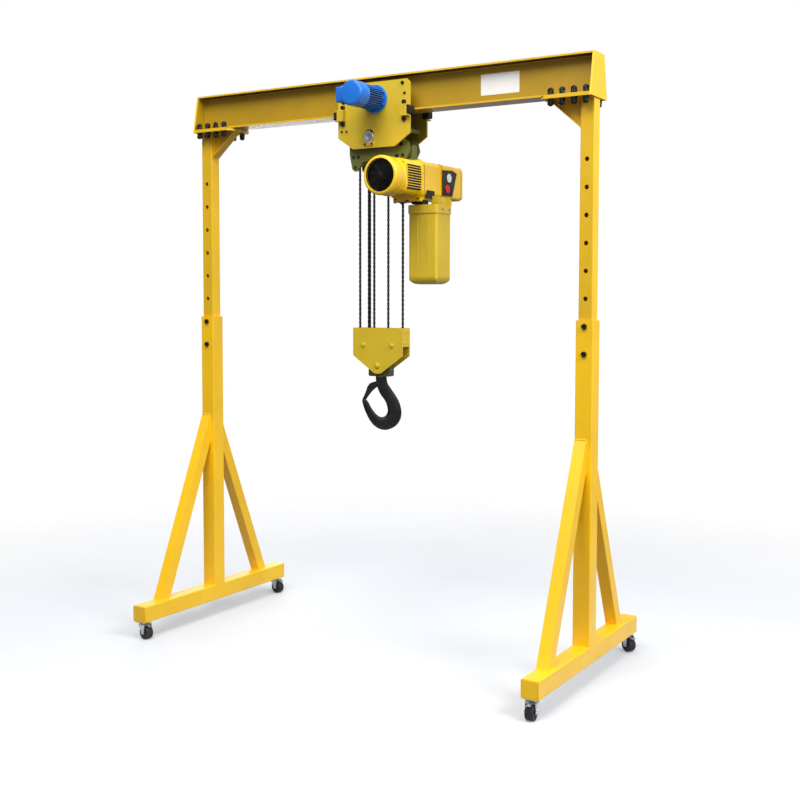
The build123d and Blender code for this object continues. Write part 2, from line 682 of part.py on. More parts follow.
def hook():
    outline = make_face([
        Line((-34, 1650), (37, 1650)), Line((37, 1650), HOOK_OUT[0]), Spline(*HOOK_OUT),
        Line(HOOK_OUT[-1], HOOK_IN[0]), Spline(*HOOK_IN), Line(HOOK_IN[-1], (-34, 1650))])
    body = Pos(0, 22, 0) * extrude(Plane.XZ * outline, 44)
    edges = [e for e in body.edges() if abs(abs(e.center().Y) - 22) < 0.5]
    try:
        body = fillet(edges, 10)
    except Exception:
        body = chamfer(edges, 6)
    neck = cyl_z(30, 1622, 1650.5, 0, 0)
    shank = cyl_z(20.4, 1630, 1752, 0, 0)
    nut = cyl_z(34, 1735.5, 1740, 0, 0) + hexagon_z(58, 1740, 1768, 0, 0)
    body -= box(-90, -3, -12, 12, 1540, 1640)
    body += cyl_y(4.6, -16, 16, -22, 1606)
    return Rot(0, 0, HOOK_YAW) * (body + neck + shank + nut)


def latch():
    bar = plate_xz([(-34, 1618), (-14, 1616), (-12, 1594), (-56, 1562), (-76, 1517), (-94, 1517),
                    (-98, 1530), (-86, 1576), (-60, 1612)], -9, 9)
    bar -= cyl_y(5.1, -20, 20, -22, 1606)
    return Rot(0, 0, HOOK_YAW) * bar


save("hook", hook())
save("hook_latch", latch())
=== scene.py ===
import itertools
import json
import math
import random

import bmesh
import bpy
from mathutils import Matrix, Vector


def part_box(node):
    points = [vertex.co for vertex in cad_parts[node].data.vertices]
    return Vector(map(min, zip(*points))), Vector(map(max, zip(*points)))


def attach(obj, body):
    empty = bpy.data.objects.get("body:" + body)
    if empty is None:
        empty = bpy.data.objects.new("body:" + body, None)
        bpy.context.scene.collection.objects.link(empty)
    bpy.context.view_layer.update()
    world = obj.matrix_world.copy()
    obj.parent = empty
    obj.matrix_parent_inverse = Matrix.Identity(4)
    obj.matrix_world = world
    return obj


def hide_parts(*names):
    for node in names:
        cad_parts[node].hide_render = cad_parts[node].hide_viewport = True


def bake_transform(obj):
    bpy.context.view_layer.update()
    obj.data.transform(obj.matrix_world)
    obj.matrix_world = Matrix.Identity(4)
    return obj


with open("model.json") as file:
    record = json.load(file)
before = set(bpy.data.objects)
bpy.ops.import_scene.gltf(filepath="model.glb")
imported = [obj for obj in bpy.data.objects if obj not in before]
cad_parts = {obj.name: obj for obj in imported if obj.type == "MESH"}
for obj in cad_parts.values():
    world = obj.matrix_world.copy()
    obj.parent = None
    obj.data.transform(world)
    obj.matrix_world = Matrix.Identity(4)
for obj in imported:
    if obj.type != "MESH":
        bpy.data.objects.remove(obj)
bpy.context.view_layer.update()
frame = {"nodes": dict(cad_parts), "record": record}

NODES = frame["nodes"]
RECORD = frame["record"]
MM = 0.001
X, Y, Z = Vector((1, 0, 0)), Vector((0, 1, 0)), Vector((0, 0, 1))


# ---------------------------------------------------------------- materials
class Graph:
    """A small helper that adds nodes to a material or to the world and links them."""

    def __init__(self, owner, coordinates="Object"):
        owner.use_nodes = True
        self.owner, self.tree = owner, owner.node_tree
        self.point = self.node("TexCoord").outputs[coordinates]

    def node(self, kind, inputs=None, **settings):
        made = self.tree.nodes.new("ShaderNode" + kind)
        for key, value in settings.items():
            setattr(made, key, value)
        for key, value in (inputs or {}).items():
            self.feed(made.inputs[key], value)
        return made

    def feed(self, socket, value):
        if isinstance(value, bpy.types.NodeSocket):
            self.tree.links.new(value, socket)
        else:
            socket.default_value = value

    def noise(self, scale, detail=3.0, stretch=(1, 1, 1)):
        place = self.node("Mapping", {"Vector": self.point, "Scale": stretch})
        return self.node("TexNoise", {"Vector": place.outputs[0], "Scale": scale,
                                      "Detail": detail}).outputs["Fac"]

    def ramp(self, value, low, high, out_low=0.0, out_high=1.0):
        return self.node("MapRange", {"Value": value, "From Min": low, "From Max": high,
                                      "To Min": out_low, "To Max": out_high}).outputs[0]

    def math(self, operation, a, b=0.0):
        made = self.node("Math", operation=operation)
        self.feed(made.inputs[0], a)
        self.feed(made.inputs[1], b)
        return made.outputs[0]

    def mix(self, share, a, b):
        made = self.node("Mix", data_type="RGBA")
        self.feed(made.inputs[0], share)
        self.feed(made.inputs[6], a)
        self.feed(made.inputs[7], b)
        return made.outputs[2]

    def bump(self, height, distance, strength=1.0):
        made = self.node("Bump", {"Height": height, "Distance": distance, "Strength": strength})
        return made.outputs[0]

    def edges(self, radius):
        """1 on convex edges, 0 on flats: how far a rounded normal leans from the true one."""
        soft = self.node("Bevel", {"Radius": radius}, samples=4).outputs[0]
        flat = self.node("NewGeometry").outputs["Normal"]
        dot = self.node("VectorMath", {0: soft, 1: flat}, operation="DOT_PRODUCT").outputs["Value"]
        return self.ramp(dot, 0.995, 0.93)

    def finish(self, **values):
        for key, value in values.items():
            self.feed(self.tree.nodes["Principled BSDF"].inputs[key.replace("_", " ")], value)
        return self.owner


def surface(name):
    """The graph of a new material."""
    return Graph(bpy.data.materials.new(name))


def srgb(r, g, b):
    """An 8-bit display colour as the linear one that the shader takes."""
    def linear(v):
        v /= 255
        return v / 12.92 if v <= 0.04045 else ((v + 0.055) / 1.055) ** 2.4
    return (linear(r), linear(g), linear(b), 1.0)


def shade(colour, factor):
    """A linear colour made darker or lighter."""
    return tuple(c * factor for c in colour[:3]) + (1.0,)


def enamel(name, colour, roughness=0.36, coat=0.25, wear=0.35, texture=1.0):
    """Sprayed machine enamel: tone drift, orange peel, a dusty film and paint rubbed thin on edges."""
    g = surface(name)
    drift = g.ramp(g.noise(2.3, 4), 0.35, 0.65)
    base = g.mix(drift, shade(colour, 0.93), shade(colour, 1.04))
    cloud = g.ramp(g.noise(11, 6), 0.46, 0.74, 0, 0.22)
    base = g.mix(cloud, base, shade(colour, 0.78))
    speck = g.ramp(g.noise(260, 2), 0.70, 0.78, 0, 0.5)
    base = g.mix(speck, base, shade(colour, 0.6))
    rub = g.math("MULTIPLY", g.edges(0.0022), g.ramp(g.noise(38, 5), 0.42, 0.62))
    rub = g.math("MULTIPLY", rub, wear)
    base = g.mix(rub, base, shade(colour, 0.42))
    rough = g.ramp(g.noise(17, 5), 0.3, 0.7, roughness - 0.06, roughness + 0.10)
    rough = g.math("ADD", rough, g.math("MULTIPLY", rub, 0.25))
    peel = g.math("ADD", g.noise(420, 2), g.math("MULTIPLY", g.noise(75, 3), 0.5))
    normal = g.bump(peel, 0.00022 * texture, 0.55)
    return g.finish(Base_Color=base, Roughness=rough, Normal=normal, Coat_Weight=coat,
                    Coat_Roughness=0.22)


def metal(name, colour, roughness=0.32, brushed=(1, 1, 1), grime=0.5, metallic=1.0):
    """Plated or machined steel with drawn marks, a cloudy plating tone and dark grime."""
    g = surface(name)
    tone = g.mix(g.ramp(g.noise(14, 5), 0.3, 0.7), shade(colour, 0.82), shade(colour, 1.08))
    dirt = g.ramp(g.noise(55, 6), 0.52, 0.75, 0, grime)
    tone = g.mix(dirt, tone, shade(colour, 0.30))
    marks = g.noise(160, 3, brushed)
    rough = g.math("ADD", g.ramp(marks, 0.3, 0.7, roughness - 0.07, roughness + 0.09),
                   g.math("MULTIPLY", dirt, 0.3))
    return g.finish(Base_Color=tone, Roughness=rough, Metallic=metallic,
                    Normal=g.bump(marks, 0.00008, 0.5))


def forged(name, colour, roughness=0.42, rubbed=0.6):
    """Black-oxide forging: pebbled scale, brown bloom in the hollows and bright rubbed edges."""
    g = surface(name)
    scale = g.noise(46, 8)
    tone = g.mix(g.ramp(scale, 0.35, 0.7), shade(colour, 0.7), shade(colour, 1.5))
    bloom = g.ramp(g.noise(9, 6), 0.55, 0.8, 0, 0.35)
    tone = g.mix(bloom, tone, srgb(58, 48, 42))
    rub = g.math("MULTIPLY", g.edges(0.003), g.ramp(g.noise(30, 4), 0.4, 0.6, rubbed / 4, rubbed))
    tone = g.mix(rub, tone, srgb(112, 110, 106))
    rough = g.ramp(scale, 0.3, 0.7, roughness - 0.08, roughness + 0.16)
    height = g.math("ADD", scale, g.math("MULTIPLY", g.noise(190, 4), 0.35))
    return g.finish(Base_Color=tone, Roughness=rough, Metallic=0.55,
                    Normal=g.bump(height, 0.0007, 0.6))


def moulded(name, colour, roughness=0.5, grain=900.0, depth=0.00012, dust=0.25, shine=0.5):
    """Moulded plastic or rubber: spark-eroded grain, scuffs and a light dust film."""
    g = surface(name)
    film = g.ramp(g.noise(8, 6), 0.45, 0.8, 0, dust)
    tone = g.mix(film, colour, srgb(122, 116, 106))
    tone = g.mix(g.ramp(g.noise(120, 3), 0.62, 0.72, 0, 0.3), tone, shade(colour, 0.6))
    rough = g.ramp(g.noise(24, 5), 0.3, 0.7, roughness - 0.08, roughness + 0.12)
    return g.finish(Base_Color=tone, Roughness=rough, Normal=g.bump(g.noise(grain, 2), depth, 0.6),
                    Specular_IOR_Level=shine)


# Name, 8-bit colour, then the settings of the kind in the order of its arguments.
MATERIAL_TABLE = {
    enamel: (
        ("leg_yellow", (255, 202, 10), 0.40, 0.2),
        # The masts' yellow is the legs' paint darkened: painted shade.
        ("mast_yellow", (228, 182, 12), 0.40, 0.2),
        # The beam's yellow is the legs' paint darkened much further: painted shade over the beam.
        ("beam_yellow", (178, 141, 8), 0.50, 0.0, 0.45),
        # A pale greyish tone for the bottom flange's underside: painted light that it catches from
        # below.
        ("beam_underside", (216, 198, 148), 0.20, 0.8, 0.3),
        # Near-black brown for the top flange's underside: painted shadow under the flange.
        ("beam_shade", (50, 40, 10), 0.50, 0.0, 0.2),
        ("trolley_yellow", (216, 184, 38), 0.44, 0.12, 0.45),
        ("hanger_olive", (104, 108, 42), 0.48, 0.08, 0.5),
        # The crosshead's olive is the hanger's olive darkened: painted shade from the block above.
        ("crosshead_olive", (60, 64, 32), 0.50, 0.08, 0.5),
        # A dark olive copy of the trolley's yellow: painted shade between and behind the side plates.
        ("trolley_shade", (118, 114, 36), 0.48, 0.08, 0.5),
        ("hoist_yellow", (252, 204, 22), 0.32, 0.35, 0.3, 1.4),
        ("motor_blue", (10, 114, 216), 0.34, 0.3, 0.3, 1.3),
        # Near-black navy for the barrel between the motor's fins: painted shade in the gaps.
        ("motor_navy", (5, 22, 52), 0.46, 0.15, 0.2, 1.3)),
    metal: (
        ("zinc", (182, 185, 190), 0.34, (1, 1, 1), 0.3),
        ("steel", (205, 205, 208), 0.30, (1, 1, 5), 0.25),
        ("wheel_steel", (92, 90, 86), 0.40, (1, 1, 5), 0.6),
        ("black_steel", (32, 32, 34), 0.42, (1, 1, 1), 0.4, 0.6)),
    forged: (
        ("chain_black", (5, 5, 6), 0.62, 0.15),
        ("hook_black", (22, 22, 23), 0.42)),
    moulded: (
        ("rubber_black", (15, 15, 16), 0.62, 700, 0.00012, 0.12, 0.3),
        ("caster_black", (20, 20, 22), 0.50, 500, 0.00012, 0.12, 0.35),
        ("plastic_black", (17, 17, 19), 0.42, 900, 0.00012, 0.15, 0.35),
        ("fan_black", (9, 9, 10), 0.62, 700, 0.0001, 0.06, 0.2),
        ("button_white", (232, 232, 228), 0.30, 1200, 0.00005, 0.08),
        ("button_red", (214, 10, 10), 0.30, 1200, 0.00005, 0.04, 0.35),
        ("sign_white", (240, 240, 238), 0.34, 600, 0.00005, 0.10)),
}
MATERIALS = {name: kind(name, srgb(*colour), *settings)
             for kind, rows in MATERIAL_TABLE.items() for name, colour, *settings in rows}


# ---------------------------------------------------------------- mesh helpers
def build(name, bm, material=None, smooth=None):
    """Turns a bmesh into an object. smooth is the angle in degrees above which an edge stays sharp."""
    mesh = bpy.data.meshes.new(name)
    bmesh.ops.recalc_face_normals(bm, faces=bm.faces)
    bm.to_mesh(mesh)
    bm.free()
    piece = bpy.data.objects.new(name, mesh)
    bpy.context.scene.collection.objects.link(piece)
    if material:
        mesh.materials.append(MATERIALS[material])
    if smooth:
        for polygon in mesh.polygons:
            polygon.use_smooth = True
        mesh.set_sharp_from_angle(angle=math.radians(smooth))
    return piece


def aim(place, direction=Z, roll=0.0):
    """A matrix that puts local Z along direction at place (metres), turned by roll degrees about it."""
    turn = Vector(direction).normalized().to_track_quat("Z", "Y").to_matrix().to_4x4()
    return Matrix.Translation(place) @ turn @ Matrix.Rotation(math.radians(roll), 4, "Z")


def centre_of(node):
    """The middle of a CAD node's box at rest."""
    low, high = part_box(node)
    return (low + high) / 2


def turns(count):
    """Equal steps round a circle, in radians."""
    return [2 * math.pi * k / count for k in range(count)]


def polar(radius, angle, height=0.0):
    """A point at a radius and an angle (radians) round local Z."""
    return Vector((radius * math.cos(angle), radius * math.sin(angle), height))


def lifted(matrix, outline, height):
    """A flat outline as 3D points at a height above the matrix's XY plane."""
    return [matrix @ Vector((px, py, height)) for px, py in outline]


def bridge(bm, first, second):
    """Quads between two loops with the same number of points."""
    count = len(first)
    for k in range(count):
        corners = [first[k], first[(k + 1) % count], second[(k + 1) % count], second[k]]
        bm.faces.new(corners)


def revolve(bm, profile, matrix, count=40):
    """Turns a list of (radius, height) about local Z; a radius of 0 closes the end with a fan."""
    last = None
    for radius, height in profile:
        if radius <= 1e-9:
            now = [bm.verts.new(matrix @ Vector((0, 0, height)))]
        else:
            now = [bm.verts.new(matrix @ polar(radius, a, height)) for a in turns(count)]
        if last is not None and not len(now) == len(last) == 1:
            if len(now) == 1 or len(last) == 1:
                tip, rim = (now[0], last) if len(now) == 1 else (last[0], now)
                for k in range(count):
                    bm.faces.new((tip, rim[k], rim[(k + 1) % count]))
            else:
                bridge(bm, last, now)
        last = now


def loft(bm, sections, closed=False):
    """Skins a list of equal-length point loops; open ends are capped."""
    rings = [[bm.verts.new(p) for p in section] for section in sections]
    for a, b in zip(rings, rings[1:] + (rings[:1] if closed else [])):
        bridge(bm, a, b)
    if not closed:
        bm.faces.new(rings[0])
        bm.faces.new(rings[-1])


def tube(bm, points, radius, count=8, closed=False):
    """Sweeps a round section along points. radius is a number or a function of the index."""
    sections, side = [], None
    total = len(points)
    for k, p in enumerate(points):
        ahead = points[(k + 1) % total] if closed or k + 1 < total else points[k]
        behind = points[k - 1] if closed or k else points[k]
        along = (ahead - behind).normalized()
        if side is None:
            side = along.orthogonal().normalized()
        else:
            side = (side - along * side.dot(along)).normalized()
        rise = side.cross(along)
        r = radius(k) if callable(radius) else radius
        sections.append([p + side * (r * math.cos(a)) + rise * (r * math.sin(a))
                         for a in turns(count)])
    loft(bm, sections, closed)


def slab(bm, outline, matrix, thickness, chamfer=0.0):
    """A plate from a 2D outline (counter-clockwise) in local XY, chamfered on its upper face."""
    middle = sum((Vector(p) for p in outline), Vector((0, 0))) / len(outline)
    levels = [(0.0, 0.0), (thickness, chamfer)]
    if chamfer:
        levels.insert(1, (thickness - chamfer, 0.0))
    sections = []
    for height, inset in levels:
        arms = [Vector(p) - middle for p in outline]
        sections.append(lifted(matrix, [v * (1 - inset / max(v.length, 1e-9)) + middle for v in arms],
                               height))
    loft(bm, sections)


def rounded(width, height, radius, steps=5):
    """A rounded rectangle as a counter-clockwise outline about the origin."""
    points = []
    for cx, cy, start in ((1, 1, 0), (-1, 1, 90), (-1, -1, 180), (1, -1, 270)):
        for k in range(steps + 1):
            a = math.radians(start + 90 * k / steps)
            points.append((cx * (width / 2 - radius) + radius * math.cos(a),
                           cy * (height / 2 - radius) + radius * math.sin(a)))
    return points


def hex_head(bm, matrix, across, height, recess=0.0):
    """A hexagon with its corners turned off at the top, and an optional shallow dish."""
    corner, flat = across / math.sqrt(3), across / 2

    def outline(z, limit):
        points = []
        for a in turns(24):
            fold = (a + math.pi / 6) % (math.pi / 3) - math.pi / 6
            points.append(matrix @ polar(min(flat / math.cos(fold), limit), a, z))
        return points
    low = height * 0.78
    sections = [outline(0, corner), outline(low, corner), outline(height, flat * 0.97)]
    if recess:
        sections += [outline(height, flat * 0.80), outline(height - recess, flat * 0.72)]
    loft(bm, sections)


def hex_bolt(bm, matrix, across, height, washer=0.0, tail=0.0, shank=0.0):
    """Washer at local z = 0, a hexagon above it and, where tail is given, a threaded end."""
    base = 0.0
    if washer:
        base = 0.0028
        revolve(bm, [(0, 0), (washer, 0), (washer, base * 0.7), (washer * 0.96, base), (0, base)],
                matrix, 28)
    recess = 0.0 if tail else height * 0.08
    hex_head(bm, matrix @ Matrix.Translation((0, 0, base)), across, height, recess)
    if tail:
        thread_end(bm, matrix @ Matrix.Translation((0, 0, base + height)), shank, tail)


def thread_end(bm, matrix, radius, length, pitch=0.002):
    """The end of a threaded shank, as turned grooves from local z = 0 up."""
    profile, z = [(0, -0.004), (radius, -0.004)], 0.0
    while z < length - pitch:
        profile += [(radius, z + pitch * 0.15), (radius * 0.90, z + pitch * 0.6)]
        z += pitch
    profile += [(radius * 0.96, z + pitch * 0.3), (radius * 0.80, length), (0, length)]
    revolve(bm, profile, matrix, 20)


def socket_screw(bm, matrix, radius, height):
    """A cap screw: knurled-edge cylinder with a hexagon socket."""
    revolve(bm, [(0, 0), (radius, 0), (radius, height * 0.85), (radius * 0.9, height),
                 (radius * 0.52, height), (radius * 0.46, height * 0.45), (0, height * 0.4)], matrix, 24)


def pan_screw(bm, matrix, radius, height):
    """A domed screw with a shallow driver dish."""
    profile = [(0, 0), (radius, 0), (radius, height * 0.35)]
    for k in range(1, 5):
        a = math.radians(90 * k / 5)
        profile.append((radius * math.cos(a), height * (0.35 + 0.65 * math.sin(a))))
    profile += [(radius * 0.26, height), (radius * 0.2, height * 0.55), (0, height * 0.5)]
    revolve(bm, profile, matrix, 20)


def arc(centre, radius, start, stop, count):
    """Points on a circle in the XZ plane, angles in degrees."""
    angles = [math.radians(start + (stop - start) * k / count) for k in range(count + 1)]
    return [Vector(centre) + X * (radius * math.cos(a)) + Z * (radius * math.sin(a)) for a in angles]


def weld(bm, corners, radius, closed=False, seed=1):
    """A fillet weld: an uneven rippled bead along a run of corners."""
    rng = random.Random(seed)
    step, path = 0.0042, []
    pairs = list(zip(corners, corners[1:] + (corners[:1] if closed else [])))
    for a, b in pairs:
        a, b = Vector(a), Vector(b)
        count = max(2, int((b - a).length / step))
        path += [a.lerp(b, k / count) for k in range(count)]
    if not closed:
        path.append(Vector(corners[-1]))
    sizes = [radius * (1 + 0.13 * math.sin(k * 2.1) + rng.uniform(-0.07, 0.07))
             for k in range(len(path))]
    if not closed:
        sizes[0] = sizes[-1] = radius * 0.5
    tube(bm, path, lambda k: sizes[k], 6, closed)


def place(piece, body, slot, *nodes):
    """Rides on a body and stands for CAD nodes; slot is not used."""
    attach(piece, body)
    if nodes:
        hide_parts(*nodes)


def add(name, bm, tone, smooth, body="trolley", *nodes, slot=None):
    """Builds and places a piece, handing place the slot of its material unless slot gives another."""
    place(build(name, bm, tone, smooth), body, slot or tone, *nodes)


# ---------------------------------------------------------------- CAD nodes that stay
def slot_of(node):
    """The record's material slot of a CAD node."""
    return next(part["material_slot"] for part in RECORD["subparts"] if part["node"] == node)


def dress(node, bevel, material):
    """Gives a CAD node its material, rounded shading and softly broken edges."""
    piece = NODES[node]
    piece.data.materials.clear()
    piece.data.materials.append(MATERIALS[material])
    for polygon in piece.data.polygons:
        polygon.use_smooth = True
    piece.data.set_sharp_from_angle(angle=math.radians(32))
    if bevel:
        flat = piece.modifiers.new("merge_flats", "DECIMATE")
        flat.decimate_type = "DISSOLVE"
        flat.angle_limit = math.radians(0.4)
        flat.delimit = {"NORMAL", "MATERIAL"}
        edge = piece.modifiers.new("broken_edges", "BEVEL")
        edge.width = bevel
        edge.segments = 2
        edge.limit_method = "ANGLE"
        edge.angle_limit = math.radians(38)
        edge.harden_normals = True
        edge.use_clamp_overlap = True


BEVELS = {"braces": 0.003, "mast": 0.0012, "beam": 0.0016, "side_plate": 0.0018, "hanger": 0.0016,
          "block_frame": 0.0012, "crosshead": 0.002, "control_panel": 0.001}
# The crosshead takes the darkened olive as painted shade.
# The masts take the darkened yellow as painted shade.
# The trolley's pins take the dark olive as painted shade between the plates.
TONES = {"mast_left": "mast_yellow", "mast_right": "mast_yellow", "crosshead": "crosshead_olive",
         "trolley_pins": "trolley_shade"}
for node in NODES:
    width = max((w for stem, w in BEVELS.items() if node.startswith(stem)), default=0.0)
    dress(node, width, TONES.get(node, slot_of(node)))


def second_tone(node, material, chosen):
    """Paints the faces of a CAD node that chosen picks by their centre and normal."""
    piece = NODES[node]
    piece.data.materials.append(MATERIALS[material])
    for polygon in piece.data.polygons:
        if chosen(polygon.center, polygon.normal):
            polygon.material_index = len(piece.data.materials) - 1


beam_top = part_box("beam")[1]
BEAM_HEIGHT, FLANGE_THICK, FLANGE_HALF = 0.218, 0.010, 0.068
END_PLATE_X = beam_top.x - 0.0118
SQUARE, NEAR = 0.9, 0.001      # least part of a normal along an axis, and how close a face has to be


def faces_down(centre, normal, depth):
    """A face between the end plates that looks down, depth below the beam's top."""
    return (normal.z < -SQUARE and abs(beam_top.z - centre.z - depth) < NEAR
            and abs(centre.x) < END_PLATE_X)


# The end plates keep the legs' full yellow, while the rest of the beam is darkened as painted shade.
second_tone("beam", "leg_yellow", lambda centre, normal: abs(centre.x) > END_PLATE_X)
# The flanges' edge faces get a lighter yellow than the web: painted highlight along the edges.
second_tone("beam", "mast_yellow", lambda centre, normal: abs(normal.y) > SQUARE
            and abs(centre.y) > FLANGE_HALF - NEAR and abs(centre.x) < END_PLATE_X)
# The top flange's underside is painted near black: painted shadow.
second_tone("beam", "beam_shade", lambda centre, normal: faces_down(centre, normal, FLANGE_THICK))
# The bottom flange's underside is painted pale: painted light from below.
second_tone("beam", "beam_underside", lambda centre, normal: faces_down(centre, normal, BEAM_HEIGHT))
# The masts' side faces get the legs' brighter yellow: painted light on the sides.
for mast in ("mast_left", "mast_right"):
    second_tone(mast, "leg_yellow", lambda centre, normal: abs(normal.x) > SQUARE)
# The back plate's inner face is painted dark olive: painted shade.
second_tone("side_plate_back", "trolley_shade", lambda centre, normal: normal.y < -SQUARE)


# ---------------------------------------------------------------- load chain
WIRE = 0.0034
LINK_PITCH = 0.0140
LINK_HALF = 0.0051         # from the link's centre line to the middle of its wire
SHEAVE_R = 0.051
FREE_END_X = 0.257         # where the slack chain leaves the hoist
TAILS_Y = (0.0192, 0.0310)   # the two dead-end tails beside the left strand
TAIL_RISE = 0.0195           # radius of a tail's loop, and its height over the sheave's axis


def chain_link(bm, centre, along, across):
    """One welded link: a stadium of round wire. across is the direction of the link's width."""
    straight = LINK_PITCH / 2 - LINK_HALF + WIRE
    path = []
    for side, start in ((1, 0), (-1, 180)):
        for k in range(7):
            a = math.radians(start + 180 * k / 6)
            path.append(centre + along * (side * straight + LINK_HALF * math.sin(a))
                        + across * (LINK_HALF * math.cos(a)))
    tube(bm, path, WIRE, 6, closed=True)


def chain_run(bm, points, normal, first=0):
    """Links along a polyline of equal steps, every second one turned by a right angle."""
    for k, (a, b) in enumerate(zip(points, points[1:])):
        along = (b - a).normalized()
        across = normal.cross(along).normalized() if (k + first) % 2 else normal
        chain_link(bm, (a + b) / 2, along, across)


def straight_run(a, b):
    """Points from a to b, as near to one link pitch apart as fits."""
    a, b = Vector(a), Vector(b)
    count = max(2, round((b - a).length / LINK_PITCH))
    return [a.lerp(b, k / count) for k in range(count + 1)]


def load_chain():
    """Six strands from the trolley to the hook block, and the turns over the sheaves."""
    left, right, upper, sprocket = map(
        centre_of, ("block_sheave_left", "block_sheave_right", "top_sheave", "load_sprocket"))
    anchor_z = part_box("hanger")[0].z + 0.046
    falls = bmesh.new()
    tops = ((left.x - SHEAVE_R, 0, anchor_z), (left.x + SHEAVE_R, 0, upper.z),
            (right.x - SHEAVE_R, 0, upper.z), (right.x + SHEAVE_R, 0, sprocket.z))
    for top in tops:
        chain_run(falls, straight_run((top[0], 0, left.z), top), Y)
    for tail in TAILS_Y:
        chain_run(falls, straight_run((left.x, tail, left.z + TAIL_RISE), (left.x, tail, anchor_z)), X)
    falls = build("load_chain_strands", falls, "chain_black", 40)
    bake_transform(falls)
    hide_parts("chain_falls")

    below = bmesh.new()
    for wheel in (left, right):
        chain_run(below, arc(wheel, SHEAVE_R, 180, 360, 11), Y, 1)
    for tail in TAILS_Y:
        loop = arc((left.x, tail, left.z + TAIL_RISE), TAIL_RISE, 180, 360, 4)
        chain_run(below, loop[1:4], Y, 1)
    add("load_chain_block_turns", below, "chain_black", 40, "hook_block")

    above = bmesh.new()
    chain_run(above, arc(upper, 0.050, 180, 0, 11), Y, 1)
    chain_run(above, arc(sprocket, sprocket.x - right.x - SHEAVE_R, 180, 0, 11), Y, 1)
    add("load_chain_trolley_turns", above, "chain_black", 40)


def slack_chain():
    """The free end: a drop into the bucket and the chain that has piled up there."""
    rng = random.Random(7)
    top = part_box("slack_chain")[1].z
    heap_low, heap_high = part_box("chain_bucket")
    pile, inset = 2.432, 0.026
    layers, lanes, count = 5, 9, 10
    bm = bmesh.new()
    chain_run(bm, straight_run((FREE_END_X, 0, pile - 0.01), (FREE_END_X, 0, top)), Y)
    x0, x1 = heap_low.x + inset, heap_high.x - inset
    y0, y1 = heap_low.y + inset, heap_high.y - inset
    centre = Vector(((x0 + x1) / 2, (y0 + y1) / 2, 0))
    for layer in range(layers):
        shift = rng.uniform(0, 6)
        points = []
        for lane in range(lanes):
            share = lane / (lanes - 1)
            for k in range(count + 1):
                t = k / count if lane % 2 == 0 else 1 - k / count
                x, y = x0 + (x1 - x0) * t, y0 + (y1 - y0) * share
                if layer % 2:
                    x, y = x0 + (x1 - x0) * share, y0 + (y1 - y0) * t
                out = (Vector((x, y, 0)) - centre).length / 0.11
                z = pile - 0.016 - 0.017 * layer - 0.020 * out * out
                z += 0.006 * math.sin(3.1 * share * 6 + shift) + rng.uniform(-0.003, 0.003)
                x, y = x + rng.uniform(-0.005, 0.005), y + rng.uniform(-0.005, 0.005)
                points.append(Vector((x, y, z)))
        for k, (a, b) in enumerate(zip(points, points[1:])):
            along = (b - a).normalized()
            lean = (rng.uniform(-0.4, 0.4), rng.uniform(-0.4, 0.4))
            tilt = Vector((*lean, 1 if k % 2 else 0.2)).normalized()
            chain_link(bm, (a + b) / 2, along, along.cross(tilt).normalized())
    add("slack_chain_links", bm, "chain_black", 40, "trolley", "slack_chain")


load_chain()
slack_chain()


# ---------------------------------------------------------------- hook
HOOK_TURN = Matrix.Rotation(math.radians(31), 4, "Z")
LATCH_HUB = HOOK_TURN @ Vector((-0.022, 0, 1.606))
HOOK_ACROSS = HOOK_TURN.to_3x3() @ Y
# Stations along the forging in the hook's own plane: outer edge, inner edge, half thickness (mm).
HOOK_STATIONS = [
    ((33, 1652), (-33, 1652), 30), ((34, 1632), (-33, 1632), 28), ((40, 1606), (-29, 1603), 23),
    ((57, 1580), (-17, 1566), 20), ((78, 1549), (-1, 1535), 19), ((97, 1519), (16, 1513), 20),
    ((112, 1487), (29, 1489), 21), ((121, 1452), (37, 1462), 22), ((123, 1419), (39, 1438), 22),
    ((115, 1386), (32, 1419), 22), ((95, 1355), (19, 1407), 22), ((64, 1334), (4, 1403), 22),
    ((28, 1323.5), (-10, 1406), 22), ((-8, 1329), (-23, 1414), 22), ((-36, 1345), (-36, 1427), 21),
    ((-59, 1368), (-49, 1443), 20), ((-79, 1399), (-60, 1460), 18), ((-96, 1435), (-69, 1476), 16),
    ((-109, 1472), (-77, 1492), 14), ((-116, 1499), (-84, 1502), 12), ((-115, 1510), (-93, 1510), 8),
]


def smooth_path(stations, pieces=4):
    """Catmull-Rom through the stations, each as a flat list of five numbers."""
    flat = [(o[0], o[1], i[0], i[1], t) for o, i, t in stations]
    out = []
    for k in range(len(flat) - 1):
        p0, p1, p2, p3 = flat[max(k - 1, 0)], flat[k], flat[k + 1], flat[min(k + 2, len(flat) - 1)]
        for j in range(pieces):
            t = j / pieces
            out.append([0.5 * ((2 * b) + (c - a) * t + (2 * a - 5 * b + 4 * c - d) * t * t
                               + (3 * b - a - 3 * c + d) * t ** 3)
                        for a, b, c, d in zip(p0, p1, p2, p3)])
    out.append(list(flat[-1]))
    return out


